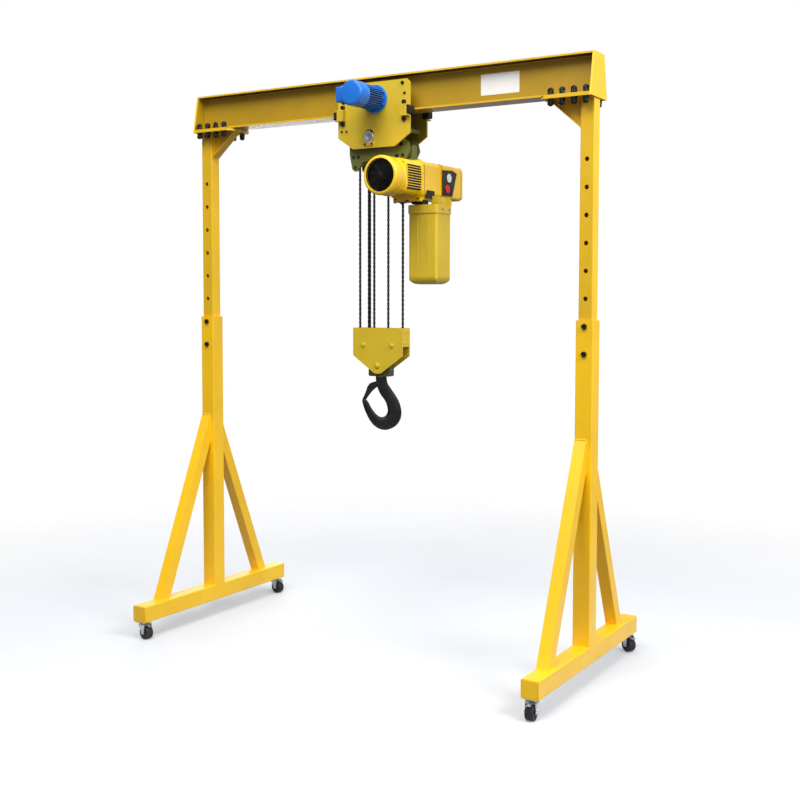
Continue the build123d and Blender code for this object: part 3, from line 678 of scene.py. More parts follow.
def hook_body():
    """Shank hook: a forging with a thick inner bow and a slimmer back, its nut and the latch pin."""
    bm, sections = bmesh.new(), []
    for ox, oz, ix, iz, half in smooth_path(HOOK_STATIONS):
        outer, inner = Vector((ox, 0, oz)) * MM, Vector((ix, 0, iz)) * MM
        middle, reach = (outer + inner) / 2, (outer - inner) / 2
        section = []
        for a in turns(20):
            c, s = math.cos(a), math.sin(a)
            bow = math.copysign(abs(c) ** 0.8, c)
            side = math.copysign(abs(s) ** 0.72, s) * half * MM * (1 - 0.16 * c)
            section.append(HOOK_TURN @ (middle + reach * bow + Y * side))
        sections.append(section)
    loft(bm, sections)
    collar, nut = 1.7355, 1.7400
    revolve(bm, [(0, 1.640), (0.0300, 1.646), (0.0300, 1.6505), (0.0285, 1.652), (0.0205, 1.652),
                 (0.0205, collar), (0, collar)], Matrix(), 32)
    revolve(bm, [(0, collar), (0.034, collar), (0.034, nut - 0.0010), (0.033, nut), (0, nut)],
            Matrix(), 36)
    hex_head(bm, Matrix.Translation((0, 0, nut)), 0.058, 0.026)
    thread_end(bm, Matrix.Translation((0, 0, 1.7640)), 0.0200, 0.0040)
    pin = [(0, -0.0262), (0.0052, -0.0262), (0.0070, -0.0250), (0.0070, -0.0225), (0.0046, -0.0220),
           (0.0046, 0.0220), (0.0070, 0.0225), (0.0070, 0.0250), (0.0052, 0.0262), (0, 0.0262)]
    revolve(bm, pin, aim(LATCH_HUB, HOOK_ACROSS), 20)
    add("hook_forging", bm, "hook_black", 50, "hook_body", "hook", slot="black_steel")


def latch():
    """A pressed safety latch: a channel bent round the hook's throat, with its torsion spring."""
    wide, thin = 0.0090, 0.0026
    back = [(-22, 1621), (-48, 1618), (-71, 1607), (-85, 1586), (-93, 1560), (-103, 1536), (-115, 1512)]
    front = [(-13, 1598), (-27, 1585), (-42, 1573), (-57, 1558), (-70, 1541), (-81, 1526), (-92, 1509)]
    bm = bmesh.new()
    sections = []
    for o, i in zip(back, front):
        outer, inner = Vector((o[0], 0, o[1])) * MM, Vector((i[0], 0, i[1])) * MM
        lip = (inner - outer).normalized()
        section = [outer - Y * wide, inner - Y * wide, inner - Y * (wide - thin),
                   outer + lip * thin - Y * (wide - thin), outer + lip * thin + Y * (wide - thin),
                   inner + Y * (wide - thin), inner + Y * wide, outer + Y * wide]
        sections.append([HOOK_TURN @ p for p in section])
    fine = []
    for a, b in zip(sections, sections[1:]):
        fine += [[p.lerp(q, t) for p, q in zip(a, b)] for t in (0.0, 0.5)]
    loft(bm, fine + [sections[-1]])
    coil, coil_r, lengthwise = [], 0.0072, HOOK_TURN.to_3x3() @ X
    for k in range(61):
        a = 2 * math.pi * k / 12
        p = LATCH_HUB + HOOK_ACROSS * (-0.006 + 0.012 * k / 60)
        coil.append(p + lengthwise * (coil_r * math.cos(a)) + Z * (coil_r * math.sin(a)))
    tube(bm, coil, 0.0009, 6)
    add("hook_latch_pressing", bm, "black_steel", 35, "latch", "hook_latch")


hook_body()
latch()


# ---------------------------------------------------------------- bolts of the frame
def flange_bolts():
    """Eight bolts at each end, through the mast caps and the beam's bolting plates."""
    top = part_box("mast_right")[1].z
    seat, cap = top + 0.010, top - 0.010
    bm = bmesh.new()
    turn = 11
    for side in (-1, 1):
        for x in (1.138, 1.205, 1.273, 1.341):
            for y in (-0.092, 0.092):
                turn = (turn * 37) % 60
                for z, way in ((seat, 1), (cap, -1)):
                    hex_bolt(bm, aim((side * x, y, z), Z * way, turn), 0.030, 0.0160, 0.018)
                    hex_bolt(bm, aim((side * x, y, z + way * 0.0188), Z * way, turn + 17), 0.030, 0.0150,
                             tail=0.0044, shank=0.010)
    add("beam_end_bolts", bm, "black_steel", 30, "upper_frame", "flange_bolts")


def lock_bolts(side):
    """Two through bolts hold each leg at its height: heads in front, nuts behind."""
    low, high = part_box("post_" + side)
    x, half = (low.x + high.x) / 2, (high.y - low.y) / 2
    bm = bmesh.new()
    for k, z in enumerate((1.970, 1.820)):
        hex_bolt(bm, aim((x, -half, z), -Y, 14 + 23 * k), 0.027, 0.0108, 0.0155)
        hex_bolt(bm, aim((x, half, z), Y, 31 - 19 * k), 0.027, 0.0135, 0.0155, tail=0.0004, shank=0.009)
        for face in (-1, 1):
            revolve(bm, [(0, 0.0005), (0.0086, 0.0005), (0.0086, 0.008), (0, 0.008)],
                    aim((x, face * (half - 0.008), z), Y * face), 20)
    add("height_bolts_" + side, bm, "black_steel", 30, side + "_leg", "lock_bolts_" + side)


# ---------------------------------------------------------------- welds
def leg_welds(side):
    """Beads across the post's foot and round both braces."""
    low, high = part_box("post_" + side)
    brace_low, brace_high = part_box("braces_" + side)
    bm = bmesh.new()
    z, inset, bead = low.z, 0.004, 0.0038
    for y in (low.y, high.y):
        weld(bm, [(low.x + inset, y, z), (high.x - inset, y, z)], 0.0042, seed=3)
    x0, x1 = brace_low.x, brace_high.x
    foot, post_half = 0.0764, 0.050     # a brace's length on the rail, half the post's width
    for s in (-1, 1):
        outer, head = s * brace_high.y, brace_high.z
        inner, face = s * (brace_high.y - foot), s * post_half
        under = head - foot * (head - z) / (brace_high.y - post_half)
        runs = ([(x1, inner, z), (x1, outer, z), (x0 + 0.001, outer, z)],
                [(x0 + 0.001, inner, z), (x1, inner, z)],
                [(x1, face, under), (x1, face, head)],
                [(x0 + 0.002, face, head), (x1, face, head)],
                [(x0 + 0.002, face, under), (x1, face, under)])
        for seed, run in enumerate(runs, 4):
            weld(bm, run, bead, seed=seed)
    add("leg_welds_" + side, bm, "leg_yellow", 60, side + "_leg")


def rail_end_cap(side):
    """Chamfered plate welded into the front end of the rail, with its ground seam."""
    low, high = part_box("rail_" + side)
    wide, tall = high.x - low.x, high.z - low.z
    centre = (low + high) / 2
    bm = bmesh.new()
    slab(bm, rounded(wide - 0.014, tall - 0.014, 0.006), aim((centre.x, low.y + 0.0004, centre.z), -Y),
         0.0022, 0.0008)
    groove = [Vector((centre.x + px, low.y, centre.z + pz))
              for px, pz in rounded(wide - 0.011, tall - 0.011, 0.007, 3)]
    tube(bm, groove, 0.0016, 6, closed=True)
    add("rail_end_cap_" + side, bm, "leg_yellow", 40, side + "_leg")


def beam_welds():
    """Beads along the web's ends, the end plates and the gussets."""
    low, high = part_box("beam")
    inner = high.x - 0.012
    bottom, top = low.z + 0.030, high.z - 0.010
    web, flange = 0.004, 0.068
    bm = bmesh.new()
    for side in (-1, 1):
        x = side * inner
        for s in (-1, 1):
            weld(bm, [(x, s * web, top), (x, s * web, bottom)], 0.0036, seed=11)
            weld(bm, [(x, s * (web + 0.006), top), (x, s * flange, top)], 0.0036, seed=12)
            weld(bm, [(x, s * (web + 0.006), bottom), (x, s * flange, bottom)], 0.0036, seed=13)
            weld(bm, [(side * 1.084, s * 0.0685, bottom - 0.010), (x, s * 0.0685, bottom - 0.010)],
                 0.0032, seed=14)
    # The beam's welds take the beam's darkened yellow: painted shade.
    add("beam_welds", bm, "beam_yellow", 60, "upper_frame")

    bm = bmesh.new()
    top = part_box("mast_right")[1].z - 0.010
    face = 1.290
    for side in (-1, 1):
        x, tip = side * face, side * (face - 0.181)
        for y in (-0.005, 0.005):
            weld(bm, [(x, y, top - 0.020), (x, y, top - 0.140)], 0.0032, seed=15)
            weld(bm, [(side * (face - 0.020), y, top), (side * (face - 0.155), y, top)], 0.0032, seed=16)
        weld(bm, [(x, -0.034, top - 0.161), (x, 0.034, top - 0.161)], 0.0034, seed=17)
        weld(bm, [(tip, -0.034, top - 0.001), (tip, 0.034, top - 0.001)], 0.0030, seed=18)
        for y in (-0.040, 0.040):
            weld(bm, [(side * 1.294, y, top), (side * 1.366, y, top)], 0.0036, seed=19)
    add("gusset_welds", bm, "leg_yellow", 60, "upper_frame")


def placard():
    """The blank sign: a rolled-edge plate with a raised border and four rivets."""
    low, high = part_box("placard")
    centre = (low + high) / 2
    wide, tall = high.x - low.x, high.z - low.z
    matrix = aim((centre.x, high.y, centre.z), -Y)
    bm = bmesh.new()
    slab(bm, rounded(wide, tall, 0.006), matrix, 0.0014, 0.0006)
    tube(bm, lifted(matrix, rounded(wide - 0.014, tall - 0.014, 0.004), 0.0013), 0.0006, 6, closed=True)
    for x in (0.013 - wide / 2, wide / 2 - 0.013):
        for y in (0.013 - tall / 2, tall / 2 - 0.013):
            pan_screw(bm, matrix @ Matrix.Translation((x, y, 0.0013)), 0.0032, 0.0007)
    add("placard_plate", bm, "sign_white", 40, "upper_frame", "placard")


flange_bolts()
for side in ("left", "right"):
    lock_bolts(side)
    leg_welds(side)
    rail_end_cap(side)
beam_welds()
placard()


# ---------------------------------------------------------------- hoist
GEAR_X = 0.205             # middle of the gear housing
VENT_PITCH = 0.0145
GLAND_XY = (0.165, 0.375)  # the cable gland, under the control box


def fan_grille():
    """Concentric wire rings and spokes over a dark fan, pressed into the cowl's mouth."""
    low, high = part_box("hoist_fan_grille")
    hub = centre_of("hoist_fan_grille")
    radius, seat = (high.x - low.x) / 2, high.y + 0.010
    face, depth = aim((hub.x, seat, hub.z), -Y), seat - low.y
    ring_count, dish, twist = 9, 0.0040, 0.35
    bm = bmesh.new()
    for k in range(1, ring_count + 1):
        r, height = radius * k / ring_count - 0.0016, depth - 0.0030 - dish * (k / ring_count) ** 2
        tube(bm, [face @ polar(r, a, height) for a in turns(56)], 0.0015, 6, closed=True)
    for a in turns(24):
        spoke = [face @ polar(radius * q, a + twist * q, depth - 0.0042 - dish * q ** 2)
                 for q in (0.16 + 0.83 * j / 5 for j in range(6))]
        tube(bm, spoke, 0.0013, 5)
    revolve(bm, [(0, depth), (0.016, depth - 0.0004), (0.020, depth - 0.0024), (0.020, depth - 0.006),
                 (0, depth - 0.006)], face, 32)
    add("fan_grille_wires", bm, "fan_black", 50, "trolley", "hoist_fan_grille", slot="plastic_black")

    bm = bmesh.new()
    back = aim((hub.x, high.y + 0.034, hub.z), -Y)
    revolve(bm, [(0, 0), (0.0898, 0), (0.0898, 0.020), (0.0938, 0.0205), (0.0938, 0.0315),
                 (0.0918, 0.0315), (0.0880, 0.018), (0.088, 0.002), (0.030, 0.004), (0.026, 0.018),
                 (0, 0.020)], back, 48)
    blade_root, blade_tip, thick, floor, top = 0.026, 0.086, 0.0016, 0.002, 0.020
    for a in turns(9):
        along, side = polar(1, a), Vector((-math.sin(a), math.cos(a), 0))
        sections = []
        for r in (blade_root, 0.056, blade_tip):
            lean = 0.011 * r / blade_tip + 0.004
            sections.append([back @ (along * r + side * reach + Z * height) for reach, height in
                             ((-lean, floor), (thick - lean, floor), (lean + thick, top), (lean, top))])
        loft(bm, sections)
    add("fan_impeller", bm, "fan_black", 40, slot="plastic_black")


def fan_cowl():
    """A pressed cowl: rolled mouth, shallow swage rings and four screws at its rear skirt."""
    low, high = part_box("hoist_fan_cowl")
    hub = centre_of("hoist_fan_cowl")
    r, length = (high.x - low.x) / 2, high.y - low.y
    back = aim((hub.x, high.y, hub.z), -Y)
    profile = [(r - 0.0030, 0.0), (r, 0.0012), (r, 0.016), (r - 0.0016, 0.019), (r - 0.0016, 0.024),
               (r, 0.027), (r, length - 0.018)]
    for k in range(1, 8):
        a = math.radians(90 * k / 7)
        profile.append((r - 0.016 + 0.016 * math.cos(a), length - 0.016 + 0.016 * math.sin(a)))
    profile += [(0.0955, length), (0.0945, length - 0.0012), (0.0945, length - 0.012),
                (0.0905, length - 0.013), (0.0905, 0.010), (0.050, 0.008), (0.050, 0.0)]
    bm = bmesh.new()
    revolve(bm, profile + [profile[0]], back, 72)
    bmesh.ops.remove_doubles(bm, verts=bm.verts, dist=1e-6)
    skirt = Vector((hub.x, high.y - 0.0095, hub.z))
    for k in range(4):
        a = math.radians(45 + 90 * k)
        out = Vector((math.cos(a), 0, math.sin(a)))
        pan_screw(bm, aim(skirt + out * (r - 0.0022), out), 0.0042, 0.0022)
    add("fan_cowl_shell", bm, "hoist_yellow", 40, "trolley", "hoist_fan_cowl")


def hoist_screws():
    """Screws in the hoist's castings, a row of the table for each group on one face."""
    motor_low, motor_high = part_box("hoist_motor_housing")
    gear_low, gear_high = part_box("hoist_gear_housing")
    box_low, box_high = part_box("hoist_control_box")
    cover_x, cover_y, face_z = (GEAR_X - 0.075, GEAR_X, GEAR_X + 0.075), -0.042, motor_high.z + 0.0030
    gear_rows, box_rows = (2.745, 2.790, 2.850, 2.895), (2.742, 2.898)
    groups = (
        (socket_screw, 0.0052, 0.0060, -Y, (motor_low.x + 0.018, motor_high.x - 0.018),
         (gear_low.y - 0.0001,), (motor_low.z + 0.021, motor_high.z - 0.021)),
        (socket_screw, 0.0052, 0.0042, Z, (gear_low.x + 0.050, GEAR_X, gear_high.x - 0.050),
         (cover_y, 0.158), (face_z,)),
        (pan_screw, 0.0050, 0.0026, X, (gear_high.x - 0.0012,), (cover_y,), gear_rows),
        (pan_screw, 0.0050, 0.0026, -X, (gear_low.x + 0.0012,), (cover_y,), gear_rows),
        (pan_screw, 0.0048, 0.0024, Z, cover_x, (0.188, 0.400), (box_high.z - 0.0004,)),
        (pan_screw, 0.0048, 0.0024, X, (box_high.x - 0.0006,), (0.395,), box_rows),
        (pan_screw, 0.0048, 0.0024, -X, (box_low.x + 0.0006,), (0.395,), box_rows),
        (socket_screw, 0.0055, 0.0040, Y, (0.132, 0.278), (box_high.y - 0.0006,), (2.750, 2.892)),
    )
    bm = bmesh.new()
    for kind, radius, height, direction, *places in groups:
        for spot in itertools.product(*places):
            kind(bm, aim(spot, direction), radius, height)
    add("hoist_screws", bm, "zinc", 35)


def hoist_seams():
    """Black gaskets between the hoist's castings."""
    box_low, box_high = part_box("hoist_control_box")
    cover_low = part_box("hoist_motor_housing")[0].z + 0.003
    box_outline = rounded(box_high.x - box_low.x + 0.0002, box_high.z - cover_low + 0.0002, 0.018, 6)
    box_mid = ((box_low.x + box_high.x) / 2, (box_high.z + cover_low) / 2)
    seams = bmesh.new()
    gear_mid = (centre_of("hoist_gear_housing").x, 2.8195)
    for (mid_x, mid_z), y, outline, r in (
            (box_mid, 0.1715, box_outline, 0.0016), (box_mid, 0.4150, box_outline, 0.0016),
            (gear_mid, -0.0335, rounded(0.2265, 0.2155, 0.034, 8), 0.0012)):
        tube(seams, [Vector((mid_x + px, y, mid_z + pz)) for px, pz in outline], r, 6, closed=True)
    add("hoist_cover_gaskets", seams, "rubber_black", 60)


def hoist_castings():
    """Ribs, the gland's collar and the blank nameplate on the hoist's castings."""
    box_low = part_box("hoist_control_box")[0]
    gear_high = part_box("hoist_gear_housing")[1]
    ribs = bmesh.new()
    for y in (0.010, 0.036, 0.062, 0.088, 0.114):
        tube(ribs, [Vector((x, y, gear_high.z - drop)) for x, drop in
                    ((0.146, 0.0032), (0.152, 0.0008), (0.258, 0.0008), (0.264, 0.0032))], 0.0030, 8)
    revolve(ribs, [(0.0130, 0.006), (0.0160, 0.006), (0.0160, 0.0015), (0.0150, 0), (0.0130, 0)],
            aim((*GLAND_XY, box_low.z), Z), 24)
    slab(ribs, rounded(0.070, 0.046, 0.003), aim((box_low.x + 0.0004, 0.290, 2.820), -X),
         0.0009, 0.0004)
    add("hoist_ribs", ribs, "hoist_yellow", 40)


def motor_vents():
    """Black fillers in the slots on both sides and the underside of the motor housing: painted shade
    inside the vents.
    """
    motor_low, motor_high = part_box("hoist_motor_housing")
    vents = bmesh.new()
    hub_x, first_z = (motor_low.x + motor_high.x) / 2, 2.752
    length = motor_high.y - motor_low.y - 0.0460
    middle_y = (motor_low.y + 0.023 + motor_high.y - 0.014) / 2
    for k in range(10):
        bulge = 0.0060 * (1 - 2 * ((k - 4.5) / 4.5) ** 2)
        for s, x in ((1, motor_high.x), (-1, motor_low.x)):
            spot = aim((x - s * 0.0088, middle_y + bulge, first_z + k * VENT_PITCH), X * s, 90)
            slab(vents, rounded(0.0098, length, 0.0030, 3), spot, 0.0096, 0.0006)
    for k in range(9):
        spot = aim((hub_x + (k - 4) * VENT_PITCH, middle_y, motor_low.z + 0.0088), -Z)
        slab(vents, rounded(0.0078, length, 0.0030, 3), spot, 0.0050, 0.0010)
    add("motor_vent_painted_shade", vents, "fan_black", 40, slot="plastic_black")


def cable_gland():
    """The black insert in the gland's collar, under the control box."""
    gland = bmesh.new()
    revolve(gland, [(0.0050, 0.002), (0.0050, 0.0), (0.0105, 0.0), (0.0115, 0.0012), (0.0115, 0.002)],
            aim((*GLAND_XY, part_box("hoist_control_box")[0].z + 0.0002), Z), 24)
    add("control_box_gland", gland, "plastic_black", 40)


def chain_guide():
    """The black chain guide under the gear housing: two mouthpieces, clamp bolts and a switch cover."""
    bm = bmesh.new()
    low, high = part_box("hoist_gear_housing")
    bottom = low.z + 0.013
    for x, z in ((0.153, bottom), (FREE_END_X, low.z)):
        revolve(bm, [(0.0100, 0.004), (0.0105, -0.004), (0.0150, -0.0048), (0.0230, -0.0030),
                     (0.0240, 0.0), (0.0240, 0.004)], aim((x, 0, z), Z), 28)
    for x, lift in ((0.120, 0), (GEAR_X, 0.010), (0.288, 0)):
        for y in (-0.037, 0.037):
            hex_bolt(bm, aim((x, y, bottom + lift), -Z, 10), 0.013, 0.0070)
    for s in (-1, 1):
        for x in (0.128, 0.282):
            socket_screw(bm, aim((x, s * 0.046, bottom + 0.016), Y * s), 0.0050, 0.005)
    add("chain_guide_fittings", bm, "black_steel", 35)

    bm = bmesh.new()
    cover_y, cover_z = 0.044, 2.733
    slab(bm, rounded(0.046, 0.090, 0.006), aim((high.x - 0.0034, cover_y, cover_z), X, 90),
         0.0040, 0.0012)
    for dy in (-0.030, -0.010, 0.010, 0.030):
        revolve(bm, [(0.0042, 0.0), (0.0058, 0.0), (0.0058, 0.0016), (0.0042, 0.0016), (0.0042, 0.0)],
                aim((high.x - 0.0004, cover_y + dy, cover_z), X), 18)
    add("limit_switch_cover", bm, "plastic_black", 35)


def push_buttons():
    """White raise button above a red stop button, each with a black bezel on the panel."""
    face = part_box("control_panel")[1].x
    bezels = bmesh.new()
    for node, body, slot in (("button_raise", "raise_button", "button_white"),
                             ("button_stop", "stop_button", "button_red")):
        low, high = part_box(node)
        hub, r, depth = centre_of(node), (high.y - low.y) / 2, high.x - low.x
        bm = bmesh.new()
        profile = [(0, 0), (r * 0.86, 0), (r * 0.86, depth - 0.0052), (r * 0.97, depth - 0.0046),
                   (r, depth - 0.0034), (r * 0.97, depth - 0.0014), (r * 0.84, depth - 0.0003),
                   (r * 0.5, depth - 0.0009), (0, depth - 0.0013)]
        revolve(bm, profile, aim((low.x, hub.y, hub.z), X), 36)
        add(body + "_cap", bm, slot, 45, body, node)
        rim = [(0.0011, 0), (0.0046, 0), (0.0046, 0.0012), (0.0034, 0.0026), (0.0018, 0.0026),
               (0.0011, 0.0014), (0.0011, 0)]
        revolve(bezels, [(r + grow, z) for grow, z in rim], aim((face - 0.0004, hub.y, hub.z), X), 40)
    for y, z in ((0.187, 2.744), (0.296, 2.750), (0.187, 2.880), (0.336, 2.878)):
        pan_screw(bezels, aim((face - 0.0003, y, z), X), 0.0042, 0.0018)
    add("button_bezels", bezels, "plastic_black", 45)


def pocketed_disc(bm, hub, steps, pockets, dip, levels, closed=False):
    """A disc along Y whose rim dips at each pocket. levels: y, radius and the share of the dip."""
    sections = []
    for y, r, share in levels:
        loop = []
        for a in turns(steps):
            reach = r - dip * share * (0.5 + 0.5 * math.cos(pockets * a))
            loop.append(Vector((hub.x + reach * math.cos(a), hub.y + y, hub.z + reach * math.sin(a))))
        sections.append(loop)
    loft(bm, sections, closed)


def sprocket():
    """The load wheel: ten pockets and a keyed hub."""
    hub, half = centre_of("load_sprocket"), 0.0118
    bm = bmesh.new()
    rim, floor = 0.0455, 0.0395
    pocketed_disc(bm, hub, 60, 10, 0.0042,
                  [(y, r, 1) for y, r in ((-half, rim), (-0.0065, rim), (-0.0040, floor),
                                          (0.0040, floor), (0.0065, rim), (half, rim))])
    for s in (-1, 1):
        revolve(bm, [(0, 0), (0.0138, 0), (0.0138, 0.0036), (0.0126, 0.0044), (0.006, 0.0044),
                     (0, 0.002)], aim((hub.x, s * half, hub.z), Y * s), 28)
    add("load_wheel", bm, "steel", 30, "sprocket", "load_sprocket")


def bucket_details():
    """Rolled rim, draft ribs, bracket bolts and rivets of the chain bucket."""
    low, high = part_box("chain_bucket")
    rim_top, rim_tall = 2.671, 0.050
    wide, deep = high.x - low.x, high.y - low.y
    middle = Matrix.Translation(((low.x + high.x) / 2, (low.y + high.y) / 2, 0))
    bm = bmesh.new()
    for z, shrink, r in ((rim_top - 0.0024, 0.0042, 0.0024),
                         (rim_top - rim_tall + 0.0018, 0.0036, 0.0018)):
        tube(bm, lifted(middle, rounded(wide - shrink, deep - shrink, 0.017, 8), z), r, 8, closed=True)
    for x in (0.262, 0.334):
        for y in (low.y + 0.0046, high.y - 0.0046):
            path = [Vector((x, y, z)) for z in (2.272, 2.310, 2.560, 2.606)]
            tube(bm, path, lambda k: 0.0018 if k in (1, 2) else 0.0008, 8)
    add("bucket_ribs", bm, "trolley_yellow", 50)

    bm = bmesh.new()
    for y, s in ((0.0602, -1), (0.1498, 1)):
        for x, z in ((0.350, 2.690), (0.384, 2.688)):
            pan_screw(bm, aim((x, y, z), Y * s), 0.0042, 0.0018)
    for y in (0.040, 0.120):
        hex_bolt(bm, aim((high.x, y, 2.646), X, 12), 0.0120, 0.0042, 0.0078)
    for y in (0.082, 0.128):
        hex_bolt(bm, aim((0.330, y, 2.700), X, 12), 0.012, 0.0065, 0.0080)
    add("bucket_bolts", bm, "zinc", 35)

    bm = bmesh.new()
    spout_low, spout_high = 2.6755, 2.7000
    outer = [(0.2235, -0.0190), (0.2985, -0.0190), (0.2985, 0.0465), (0.2235, 0.0465)]
    inner = [(0.2262, -0.0162), (0.2958, -0.0162), (0.2958, 0.0438), (0.2262, 0.0438)]
    walls = ((outer, spout_low), (outer, spout_high), (inner, spout_high), (inner, spout_low))
    loft(bm, [lifted(Matrix(), outline, z) for outline, z in walls], closed=True)
    for z in (2.681, 2.687, 2.693):
        tube(bm, lifted(Matrix(), outer, z), 0.0016, 6, closed=True)
    add("chain_boot", bm, "rubber_black", 40)


fan_grille()
fan_cowl()
hoist_screws()
hoist_seams()
hoist_castings()
motor_vents()
cable_gland()
chain_guide()
push_buttons()
sprocket()
bucket_details()


# ---------------------------------------------------------------- trolley
PLATE_FACE = 0.105         # outer faces of the trolley's side plates, in y


def load_pin():
    """The large pin that carries the hanger, with turned ends and a bolted keeper at each side."""
    hub = centre_of("load_pin")
    x, z, half, r = hub.x, hub.z, 0.116, 0.036
    bm = bmesh.new()
    upper = [(r - 0.0012, 0.1040), (r, 0.1045), (r, half - 0.003), (r - 0.003, half), (0.010, half),
             (0.0055, half - 0.002), (0.0045, half - 0.006), (0, half - 0.006)]
    lower = [(radius, -height) for radius, height in reversed(upper)]
    revolve(bm, lower + upper, aim((x, 0, z), Y), 56)
    add("load_pin_turned", bm, "steel", 35, "trolley", "load_pin")

    plates, bolts = bmesh.new(), bmesh.new()
    for s in (-1, 1):
        spot = aim((x, s * (PLATE_FACE - 0.0004), z - 0.0415), Y * s)
        outline = [(-0.034, -0.0100), (0.034, -0.0100), (0.034, 0.0115), (0.022, 0.0135),
                   (0.010, 0.0070), (-0.010, 0.0070), (-0.022, 0.0135), (-0.034, 0.0115)]
        if (spot.to_3x3() @ Y).z < 0:
            outline = [(-px, -py) for px, py in outline]
        slab(plates, outline, spot, 0.0064, 0.0012)
        for dx in (-0.024, 0.024):
            hex_bolt(bolts, aim((x + dx, s * 0.1108, z - 0.0420), Y * s, 20), 0.0115, 0.0048)
    add("pin_keepers", plates, "trolley_yellow", 35)
    add("pin_keeper_bolts", bolts, "black_steel", 30)


def side_plate_details():
    """Bracket faces, rubber pads, black bolts and the fillers behind the pads on both side plates."""
    centre = centre_of("side_plate_front").x
    pad_z = 3.210
    pad_levels = ((0.0, 0.0), (0.0, 0.030), (0.0012, 0.0335), (0.0, 0.0345), (0.0, 0.0385),
                  (0.0035, 0.0414))
    yellow, rubber, bolts = bmesh.new(), bmesh.new(), bmesh.new()
    for e in (-1, 1):
        for s in (-1, 1):
            block = aim((centre + e * 0.2340, s * 0.1200, 3.1826), Z)
            slab(yellow, rounded(0.0170, 0.0292, 0.002, 2), block, 0.0548)
            pad = aim((centre + e * 0.2265, s * PLATE_FACE, pad_z), X * e)
            size = (0.0460, 0.0500) if abs(pad.to_3x3()[2][0]) > 0.5 else (0.0500, 0.0460)
            loft(rubber, [lifted(pad, rounded(size[0] - shrink, size[1] - shrink, 0.005, 4), reach)
                          for shrink, reach in pad_levels])
            for z in (3.259, 3.162):
                spot = aim((centre + e * 0.214, s * PLATE_FACE, z), Y * s, 8)
                hex_bolt(bolts, spot, 0.0235, 0.0112, 0.0142)
    for s in (-1, 1):
        for x, z, across in ((0.211, 3.370, 0.0200), (0.226, 3.310, 0.0140), (-0.205, 3.370, 0.0200),
                             (-0.213, 3.118, 0.0115), (-0.179, 3.117, 0.0115)):
            hex_bolt(bolts, aim((x, s * PLATE_FACE, z), Y * s, 25), across, 0.0062)
    add("buffer_brackets", yellow, "trolley_yellow", 35)
    # The back filler takes the dark olive as painted shade.
    for row, s, tone in (("front", -1, "trolley_yellow"), ("back", 1, "trolley_shade")):
        filler = bmesh.new()
        for e in (-1, 1):
            slab(filler, rounded(0.0320, 0.0536, 0.001, 2),
                 aim((centre + e * 0.2102, s * 0.0945, pad_z), Y * s), 0.0095)
        add("notch_backing_" + row, filler, tone, 35, slot="trolley_yellow")
    add("rubber_buffers", rubber, "rubber_black", 45, "trolley", "buffers")
    add("side_plate_bolts", bolts, "black_steel", 30)


def hanger_details():
    """Black bolts on the olive cheeks and the layered rim plates round the hoist's pin."""
    bolts, rims, cheek = bmesh.new(), bmesh.new(), 0.0622
    for s in (-1, 1):
        for x, z in ((-0.157, 2.968), (-0.122, 2.968), (-0.143, 2.908)):
            socket_screw(bolts, aim((x, s * cheek, z), Y * s), 0.0092, 0.0062)
        for x, z, across in ((0.178, 3.028, 0.024), (0.150, 2.960, 0.017), (0.190, 2.962, 0.017)):
            hex_bolt(bolts, aim((x, s * cheek, z), Y * s, 15), across, 0.0095)
    add("hanger_bolts", bolts, "black_steel", 30)
    for s in (-1, 1):
        for start in (0.0335, 0.0415):
            revolve(rims, [(0.0578, 0), (0.0604, 0.0006), (0.0604, 0.0040), (0.0578, 0.0046),
                           (0.0578, 0)], aim((0.165, s * start, 2.990), Y * s), 64)
    add("hoist_pin_rims", rims, "hanger_olive", 40)


def gear_ring(bm, matrix, root, tip, teeth, width, bore):
    """A spur gear with tapered teeth, a bored middle and chamfered faces."""
    shape = (0.0, 0.55, 1.0, 1.0, 0.55, 0.0)
    angles, chamfer = turns(teeth * len(shape)), 0.0012
    sections = []
    for z, shrink in ((0, chamfer), (chamfer, 0), (width - chamfer, 0), (width, chamfer)):
        sections.append([matrix @ polar(root + (tip - root) * shape[k % 6] - shrink, a, z)
                         for k, a in enumerate(angles)])
    sections += [[matrix @ polar(bore, a, z) for a in angles] for z in (width, 0)]
    loft(bm, sections, closed=True)


def trolley_wheels():
    """Flanged wheels: crowned tread, hub recess, bearing cap; the front pair carries a tooth ring."""
    for row, s in (("front", -1), ("back", 1)):
        for end in ("left", "right"):
            node = f"trolley_wheel_{row}_{end}"
            hub, bm = centre_of(node), bmesh.new()
            axis = aim((hub.x, 0, hub.z), Y * s)
            profile = [(0.0144, 0.0362), (0.0215, 0.0362), (0.0225, 0.0380), (0.0235, 0.0425),
                       (0.0425, 0.0425), (0.0445, 0.0375), (0.0460, 0.0362), (0.0620, 0.0362),
                       (0.0642, 0.0380), (0.0645, 0.0520), (0.0642, 0.0675), (0.0652, 0.0695),
                       (0.0735, 0.0712), (0.0750, 0.0728), (0.0750, 0.0778), (0.0738, 0.0790),
                       (0.0690, 0.0792), (0.0690, 0.0886), (0.0520, 0.0888), (0.0500, 0.0860),
                       (0.0300, 0.0860), (0.0280, 0.0888), (0.0144, 0.0888), (0.0144, 0.0362)]
            revolve(bm, profile, axis, 56)
            if s < 0:
                turn = Matrix.Rotation(math.radians(3), 4, "Z")
                gear_ring(bm, axis @ Matrix.Translation((0, 0, 0.0794)) @ turn,
                          0.0735, 0.0788, 38, 0.0090, 0.0600)
            add(f"{node}_turned", bm, "wheel_steel", 35, f"wheel_{row}_{end}", node, slot="steel")


